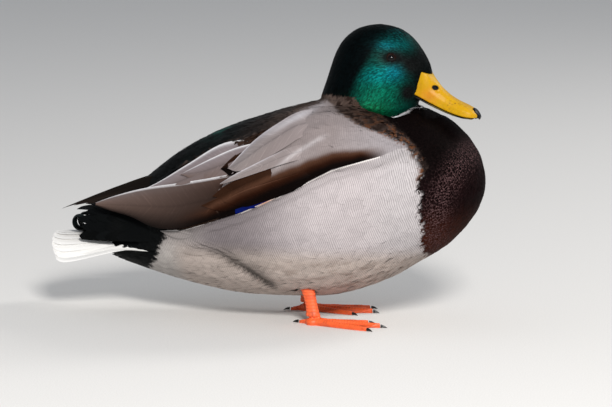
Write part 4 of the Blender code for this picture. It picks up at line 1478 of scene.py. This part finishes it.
def primary_quills(rng):
    """The long flight feathers beyond the tertials, stacked on the CAD slab on each side."""
    made = []
    t = np.linspace(0, 1, PRIMARY_ROWS)[:, None]
    taper = np.sqrt(np.clip(1 - t ** 3, 0.0, 1)) * (0.1 + 0.9 * ease(0, 0.35, t))
    for word, side in SIDES.items():
        upper, lower = slab_edges(mesh_arrays(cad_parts[f"primaries_{word}"])[0])
        outward = unit(np.array([0.25, side * 0.69, 0.72]))
        for number, (first, last, short) in enumerate(PRIMARY_BANDS):
            x = np.linspace(upper[0, 0], upper[-1, 0] + short, PRIMARY_ROWS)
            high, low = at_x(upper, x), at_x(lower, x)
            middle = low + (high - low) * (first + last) / 2 * (0.4 + 0.6 * ease(0, 0.3, t))
            half = (high - low) * (last - first) / 2 * taper
            grid = middle[:, None] + half[:, None] * ACROSS[None, :, None]
            grid = grid - outward * (6 * ease(0.55, 0, t))[:, None] - (0, 0, 2.5)
            made.append(quill(grid, np.broadcast_to(outward, grid.shape), side,
                              0.2 + 0.5 * number, paint_primary, rng, camber=0.5))
    return made


def tail_coverts(rng):
    """Long black feathers from the rump back over the tail, in rows on a narrowing roof."""
    rows, columns = 12, 7
    across = np.linspace(-1, 1, columns)
    t = np.linspace(0, 1, rows)
    widths = vane_widths(rows, 0.5)[1][:, None]
    grids, lengths = [], []
    for layer, start in enumerate((-78, -88, -98, -109, -121)):
        for step, angle in enumerate(np.linspace(-86, 86, 13)):
            long = 44 - 2.0 * layer + rng.uniform(-3, 3) - 0.06 * abs(angle)
            x = (start + 4 * (step % 2) - long * t)[:, None] + 0 * across[None, :]
            turn = np.radians(angle + 11.5 * across[None, :] * widths * (1 - 0.2 * t[:, None]))
            roof = np.interp(-x, [75, 110, 130, 150, 165], [104, 94, 90, 87, 83])
            base = np.interp(-x, [75, 110, 141, 165], [62, 60, 59, 58.5])
            half = np.interp(-x, [75, 110, 141, 165], [46, 36, 28, 20])
            rise = (-2.2 * (1 - t[:, None]) ** 1.4 - 0.16 * layer + 0.3 * t[:, None]
                    - 4.0 * ease(-126, -106, x))
            close = np.sqrt(np.clip(1 - ((-x - 154).clip(0) / 15) ** 2, 0, 1))
            y = (half + rise) * close * np.sin(turn)
            arch = (roof - base - 4 * (1 - close) + rise) * close
            z = base + 6 * (1 - close) + arch * np.clip(np.cos(turn), 0, 1) ** 0.85
            grids.append(np.stack([x, y, z], -1))
            lengths.append(long)
    grid = np.array(grids)
    colour = coloured(grid, paint_rump, rng)
    return [Vanes(grid, t, across, np.array(lengths), np.full(len(grid), 6.5), colour,
                  marks_for(rng, len(grid)))]


def paint_rectrix(share):
    """Inner tail feathers are grey-brown edged with white; the outer ones are white."""
    centre = blend((0.23, 0.19, 0.17), (0.88, 0.87, 0.85), ease(0.25, 0.65, share))
    rim = (0.80, 0.79, 0.77), (0.82, 0.81, 0.80)
    return lambda u, t, _: shades(u, t,
                                  (-1, *rim),
                                  (-0.6, centre, rim[0]),
                                  (0.5, centre, (0.78, 0.77, 0.75)),
                                  (1, *rim))


def tail_quills(rng):
    """The fan of tail feathers, on top of the CAD blade, each with its own rounded tip."""
    blade = Solids(["tail"])
    low, high = blade.points.min(0), blade.points.max(0)
    root_x, half_root, half_tip = high[0] + 4, 28.0, high[1] - 2.0
    t = np.linspace(0, 1, 26)
    width = (5.5 + 6.0 * t) * np.sqrt(np.clip(1 - ((t - 0.86) / 0.14).clip(0) ** 2, 0.02, 1))
    made = []
    for side in SIDES.values():
        for number in range(6):
            share = (number + 0.3) / 5.6
            tip_x = low[0] + 14 * share ** 2.2
            x = root_x + (tip_x - root_x) * t
            centre = side * (half_root + (half_tip - half_root) * t) * share
            y = centre[:, None] + width[:, None] * ACROSS[None, :]
            z = np.array([[blade.from_above(max(px, low[0] + 6), py) for py in row]
                          for px, row in zip(x, y)])
            outer = np.maximum(side * y - side * centre[:, None], 0)
            droop = 5.5 * share ** 2 * ease(0.25, 0.9, t)[:, None] + 0.35 * share * outer
            x = np.broadcast_to(x[:, None], y.shape)
            grid = np.stack([x, y, smoothed(z, 3) - droop], -1)
            made.append(quill(grid, np.broadcast_to([0, 0, 1.0], grid.shape), 1,
                              1.2 - 0.22 * number, paint_rectrix(share), rng, camber=0.2))
    return made


def paint_curl(u, t, _):
    rim = (0.004, 0.006, 0.006), (0.004, 0.006, 0.007)
    return shades(u, t, (-1, *rim), (0, (0.003, 0.004, 0.004), (0.004, 0.010, 0.010)), (1, *rim))


def curl_quills(rng):
    """The drake's curled central feathers: back over the tail, then up and forward in a ring."""
    made = []
    for word, side in SIDES.items():
        low, high = (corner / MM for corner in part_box(f"tail_curl_{word}"))
        radius = (high.z - low.z) / 2
        centre_x, centre_z = low.x + radius, (high.z + low.z) / 2
        centre_y = (high.y + low.y) / 2
        for number, (shrink, shift) in enumerate(((0.97, 0.0), (0.84, 1.8), (0.74, -1.6))):
            turn = np.linspace(0, 250, 34)
            angle = np.radians(-90 - turn)
            ring = radius * shrink * (1 - 0.0016 * turn)
            straight = np.linspace(high.x + 6, centre_x, 8)[:-1]
            x = np.concatenate([straight, centre_x + ring * np.cos(angle)])
            z = np.concatenate([np.full(7, centre_z - ring[0]), centre_z + ring * np.sin(angle)])
            t = np.linspace(0, 1, len(x))
            tip = np.sqrt(np.clip(1 - ((t - 0.75) / 0.25).clip(0) ** 2, 0.01, 1))
            width = (3.8 - 0.6 * number) * (1 - 0.35 * t) * tip
            y = centre_y + side * (shift + 1.5 * t)[:, None] + width[:, None] * ACROSS[None, :]
            inward = unit(np.stack([centre_x - x, np.zeros(len(x)), centre_z - z], 1))[:, None]
            x, z = (np.broadcast_to(values[:, None], y.shape) for values in (x, z))
            grid = np.stack([x, y, z], -1) + inward * (0.9 * (ACROSS ** 2)[None, :, None])
            outward = np.broadcast_to(-inward, grid.shape)
            made.append(quill(grid, outward * 0.2, 1, 0.0, paint_curl, rng, camber=0.0))
    return made


# ---------------------------------------------------------------- eyes, bill, legs

def eye_place(word):
    """The middle and the radius of an eye."""
    low, high = (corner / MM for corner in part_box(f"eye_{word}"))
    return np.array((low + high) / 2), (high.x - low.x) / 2


def eyeball(word, side, finish):
    """A glossy dark brown eye with a pupil and a slight bulge over it."""
    centre, radius = eye_place(word)
    outward = unit(np.array([0.16, side, 0.04]))
    forward = unit(np.cross([0, 0, 1.0], outward)) * side
    upward = np.cross(outward, forward) * side
    rows, steps = 30, 48
    polar = np.linspace(0.001, math.pi * 0.98, rows)
    around = np.arange(steps) * math.tau / steps
    bulge = radius * (1 + 0.06 * np.exp(-(polar / 0.5) ** 2))
    ring = np.cos(around)[:, None] * forward + np.sin(around)[:, None] * upward
    axial, radial = np.cos(polar)[:, None, None], np.sin(polar)[:, None, None]
    points = centre + bulge[:, None, None] * (axial * outward + radial * ring[None])
    behind = 9 * (polar > 1.5)
    off_axis = np.broadcast_to((radius * np.sin(polar) + behind)[:, None], (rows, steps))
    ball = mesh_object(f"eyeball_{word}", points.reshape(-1, 3), ring_faces(rows, steps, side < 0),
                       {"off_axis": off_axis.ravel()})
    finished(ball, finish, [f"eye_{word}"])


def eyelids(word, side, surface, finish):
    """The lids that make an almond of the eye, with a thin rim and a few wrinkles."""
    centre, radius = eye_place(word)
    rows, steps = 9, 64
    around = np.arange(steps) * math.tau / steps
    share = np.linspace(0, 1, rows)
    tilt = math.radians(-7)
    reach_x = 4.5 + 2.6 * share
    reach_z = 3.3 + 2.2 * share
    corners = 0.6 * np.cos(around) ** 3 * (1 - share)[:, None]
    flat_x = reach_x[:, None] * np.cos(around) + corners - 1.0
    flat_z = reach_z[:, None] * np.sin(around)
    x = centre[0] + flat_x * math.cos(tilt) - flat_z * math.sin(tilt)
    z = centre[2] + 0.7 + flat_x * math.sin(tilt) + flat_z * math.cos(tilt)
    middle = np.stack([x.ravel(), 0 * x.ravel(), z.ravel()], 1)
    on_head = surface.outermost(middle, np.tile((0, side, 0), (len(middle), 1)), 40.0)
    on_head = on_head[:, 1].reshape(x.shape) * side - 0.25
    spread = (x - centre[0]) ** 2 + (z - centre[2]) ** 2
    on_ball = abs(centre[1]) + np.sqrt(np.maximum((radius + 0.25) ** 2 - spread, 4.0))
    depth = on_ball + (on_head - on_ball) * ease(0.15, 1, share)[:, None]
    wrinkles = 0.16 * np.sin(share * 26) * ease(0.2, 0.4, share)
    rim = 0.50 * np.exp(-((share - 0.14) / 0.12) ** 2) + wrinkles
    depth = depth + rim[:, None]
    depth[0] = on_ball[0] - 0.5
    points = np.stack([x, side * depth, z], -1)
    colour = np.broadcast_to((0.0050, 0.0024, 0.0022), points.shape)
    colour = blend(colour, (0.001, 0.0015, 0.0015), ease(0.22, 0.5, share)[:, None] + 0 * x)
    lids = mesh_object(f"eyelids_{word}", points.reshape(-1, 3), ring_faces(rows, steps, side > 0))
    set_tint(lids, colour.reshape(-1, 3))
    finished(lids, finish)


def ring_faces(rows, steps, flip):
    """Quads between rings of points."""
    first = np.arange(rows - 1)[:, None] * steps + np.arange(steps)[None, :]
    after = np.arange(rows - 1)[:, None] * steps + (np.arange(steps)[None, :] + 1) % steps
    quads = np.stack([first, after, after + steps, first + steps], -1).reshape(-1, 4)
    return quads[:, ::-1] if flip else quads


def recoloured(obj, colour_at):
    """A mesh coloured point by point, each from its own place."""
    return set_tint(obj, colour_at(mesh_arrays(obj)[0]))


def squared(obj):
    """The upper bill with its base drawn out to square corners beside the forehead."""
    points = mesh_arrays(obj)[0]
    x, y, z = points.T
    top = np.interp(x, [124, 131, 136, 140, 145], [202, 201, 199, 194.5, 188])
    share = ease(141, 134, x) * ease(11.2, 9.4, abs(y)) * ease(186, 193, z)
    points[:, 2] += (top - z) * share
    points[:, 1] *= 1 + 0.06 * ease(141, 134, x) * ease(186, 193, z)
    move(obj, points)
    return obj


NOSTRIL = (142.2, 8.6, 189.3)


def bill():
    """Upper and lower bill and the nail, smoothed over their solids and coloured."""
    low, high = (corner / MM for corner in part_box("bill_upper"))

    def upper_colour(points):
        mottle = noise(points, 2.2, 9) * noise(points, 5.5, 4)
        freckles = ease(0.70, 0.78, noise(points, 1.1, 31))
        freckles = freckles * bump(points, (low.x + 35, 9, low.z + 11), (9, 5, 5))
        return layers(
            points, (0.46, 0.250, 0.0008),
            ((0.48, 0.165, 0.006), 0.75 * bump(points, (low.x + 14, 10, low.z + 17), (7, 8, 6))),
            ((0.42, 0.31, 0.05), 0.35 * bump(points, (low.x + 22, 0, high.z - 4), (16, 5, 8))),
            ((0.42, 0.21, 0.01), ease(0.25, 0.6, mottle) * 0.5),
            ((0.10, 0.05, 0.01), freckles * 0.8),
            # the nostril's opening painted near-black: painted shade in the hole
            ((0.0015, 0.0012, 0.0010), ease(0.33, 0.48, bump(points, NOSTRIL, (3.9, 3.6, 2.7)))))

    def lower_colour(points):
        # the lower bill painted dark brown: painted shade under the upper bill, with random darker
        # patches
        dark = ease(0.3, 0.7, noise(points, 4.0, 2))
        return layers(points, (0.10, 0.075, 0.020), ((0.012, 0.010, 0.008), dark))

    finish = leathery("bill_horn", 0.42, 0.16, 1500, 0.18)
    upper = squared(remeshed("bill_upper_horn", ["bill_upper"], 0.55, 0.05, 6))
    points = mesh_arrays(upper)[0]
    recoloured(upper, upper_colour)
    pinch = bump(points * (1, 0, 1), NOSTRIL * np.array((1, 0, 1)), (2.6, 1, 1.7))
    points[:, 1] *= 1 - 0.24 * pinch
    move(upper, points)
    finished(upper, finish, ["bill_upper"])
    lower = recoloured(remeshed("bill_lower_horn", ["bill_lower"], 0.5, 0.1, 3), lower_colour)
    finished(lower, finish, ["bill_lower"])
    nail = recoloured(remeshed("bill_nail_horn", ["bill_nail"], 0.35, 0.1, 2),
                      lambda points: layers(points, (0.0016, 0.0026, 0.0060)))
    finished(nail, leathery("nail_horn", 0.38, 0.1, 1500, 0.16), ["bill_nail"])


SCALE_CUT = 0.32        # depth of the grooves between the scales of shanks and toes
WEB_CUT = 0.15          # depth of the webs' wrinkles
SHANK_SCALE = 2.6       # height of one scale of the shank
TOE_SCALE = 2.4         # length of one scale of a toe


def legs():
    """Scaly orange shanks and webbed feet over their solids, and dark claws."""
    finish = leathery("leg_skin", 0.48, 0.35, 1100)
    horn = leathery("claw_horn", 0.35, 0.15, 1500)
    for word in SIDES:
        low, high = (np.array(corner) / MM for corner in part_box(f"leg_{word}"))
        joint = np.array([low[0] + 10, (low[1] + high[1]) / 2])
        nodes = [f"leg_{word}", f"foot_{word}"]
        obj = remeshed(f"foot_skin_{word}", nodes, 0.75, 0.3, 3)
        points = mesh_arrays(obj)[0]
        height = points[:, 2]
        reach = np.hypot(points[:, 0] - joint[0], points[:, 1] - joint[1])
        on_shank = ease(8, 12, height) > 0.5
        scales = np.where(on_shank, height / SHANK_SCALE, reach / TOE_SCALE)
        rings = 1 - abs(np.sin(scales * math.pi)) ** 0.5
        top = ease(1.9, 3.2, height)
        web = (1 - top) * ease(0.6, 1.0, height)
        wrinkles = 0.3 * ease(0.5, 0.8, noise(points, 1.6, 6))
        creases = np.where(web > 0.4, wrinkles, rings)
        up = ease(0.3, 0.6, height)
        cut = (SCALE_CUT * rings * top + WEB_CUT * creases * web) * up
        move(obj, points - mesh_normals(obj) * cut[:, None])
        colour = layers(
            points, (0.90, 0.130, 0.030),
            ((0.66, 0.085, 0.016), web * 0.7),
            ((0.50, 0.075, 0.025), ease(0.55, 0.8, noise(points, 4.5, 17)) * 0.5))
        set_tint(obj, colour * (1 - 0.45 * creases * up)[:, None])
        finished(obj, finish, nodes)
        for number in range(1, 5):
            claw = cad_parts[f"claw_{word}_{number}"]
            claw.material_slots[0].material = horn


# ---------------------------------------------------------------- the studio

# name, place and size in metres, power in watts
LAMPS = (
    ("key", (1.15, -2.5, 1.6), 0.6, 112),
    ("rim", (1.6, 1.4, 1.6), 0.8, 22),
)
CAMERA_AZIMUTH = 16     # degrees round from the bird's right side towards its front
CAMERA_ELEVATION = 8
CAMERA_AIM = (0.0335, 0, 0.092)     # this and the distance in metres
CAMERA_DISTANCE = 2.6
CAMERA_LENS = 191.2


def facing(way):
    """The rotation of a lamp or camera that looks along a way."""
    return way.to_track_quat("-Z", "Y").to_euler()


def studio():
    """Pale floor, soft light from the upper right and front, and the camera."""
    bpy.ops.mesh.primitive_circle_add(vertices=96, radius=30, fill_type="NGON")
    floor = bpy.context.object
    floor.name = "floor"
    floor.data.materials.append(plain("floor", (0.74, 0.73, 0.715), 0.9))
    world = bpy.data.worlds.new("studio")
    bpy.context.scene.world = world
    world.use_nodes = True
    world.node_tree.nodes["Background"].inputs[0].default_value = (0.90, 0.94, 1.0, 1)
    world.node_tree.nodes["Background"].inputs[1].default_value = 0.42
    for name, place, size, power in LAMPS:
        lamp = bpy.data.lights.new(name, "AREA")
        lamp.size = size
        lamp.energy = power
        lamp.color = (1.0, 0.975, 0.94)
        obj = bpy.data.objects.new(name, lamp)
        obj.location = place
        obj.rotation_euler = facing(Vector((0, 0, 0.1)) - obj.location)
        bpy.context.scene.collection.objects.link(obj)
    azimuth, elevation = math.radians(CAMERA_AZIMUTH), math.radians(CAMERA_ELEVATION)
    level = math.cos(elevation)
    back = Vector((math.sin(azimuth) * level, -math.cos(azimuth) * level, math.sin(elevation)))
    camera = bpy.data.cameras.new("camera")
    camera.sensor_width = 36
    camera.lens = CAMERA_LENS
    camera.clip_end = 100
    holder = bpy.data.objects.new("camera", camera)
    holder.location = Vector(CAMERA_AIM) + back * CAMERA_DISTANCE
    holder.rotation_euler = facing(-back)
    bpy.context.scene.collection.objects.link(holder)
    bpy.context.scene.camera = holder
    bpy.context.scene.view_settings.view_transform = "Standard"


BODY_VOXEL = 1.8        # fineness of the body's smoothed form


def main():
    """Coat and skin, then quills, eyes, bill, legs and the studio."""
    form = remeshed("form", FLESH + ["tail"] + BILL_NODES + EYE_NODES, BODY_VOXEL)
    surface = Surface(form)
    core = remeshed("core", FLESH + BILL_NODES + EYE_NODES, BODY_VOXEL)
    bill_guard = squared(remeshed("bill_guard", BILL_NODES[:2], 0.8, 0.2, 2))
    coat(surface, core, clear_finder(bill_guard))
    make_skin(core)
    rng = np.random.default_rng(5)
    solids = Solids(FLESH)
    quills = plumage("quill_feathers", barb=0.14, specular=0.025, split=0.35)
    feather_piece("wing_quills", wing_quills(solids, surface, rng), quills)
    flank = plumage("flank_quills", barb=0.07, roughness=0.75)
    feather_piece("flank_quills", flank_quills(solids, surface, rng), flank)
    feather_piece("primary_quills", primary_quills(rng), quills,
                  [f"primaries_{word}" for word in SIDES])
    feather_piece("tail_coverts", tail_coverts(rng), bpy.data.materials["rump_feathers"])
    feather_piece("tail_quills", tail_quills(rng), plumage("tail_feathers", barb=0.10),
                  ["tail"])
    curl_finish = plumage("curl_feathers", barb=0.3, roughness=0.45, specular=0.15)
    feather_piece("curl_quills", curl_quills(rng), curl_finish,
                  [f"tail_curl_{word}" for word in SIDES])
    ball_finish, lid_finish = eye_finish(), leathery("eyelid", 0.6, 0.3, 1500, 0.08)
    for word, side in SIDES.items():
        eyeball(word, side, ball_finish)
        eyelids(word, side, surface, lid_finish)
    bill()
    legs()
    for helper in ("form", "core", "bill_guard"):
        bpy.data.objects.remove(bpy.data.objects[helper])
    studio()


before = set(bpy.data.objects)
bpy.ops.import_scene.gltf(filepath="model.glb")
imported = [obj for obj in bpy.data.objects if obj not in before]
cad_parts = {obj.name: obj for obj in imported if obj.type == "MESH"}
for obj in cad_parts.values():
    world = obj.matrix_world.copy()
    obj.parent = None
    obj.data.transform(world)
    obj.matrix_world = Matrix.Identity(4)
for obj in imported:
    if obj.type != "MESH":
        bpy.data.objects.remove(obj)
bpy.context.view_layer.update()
main()
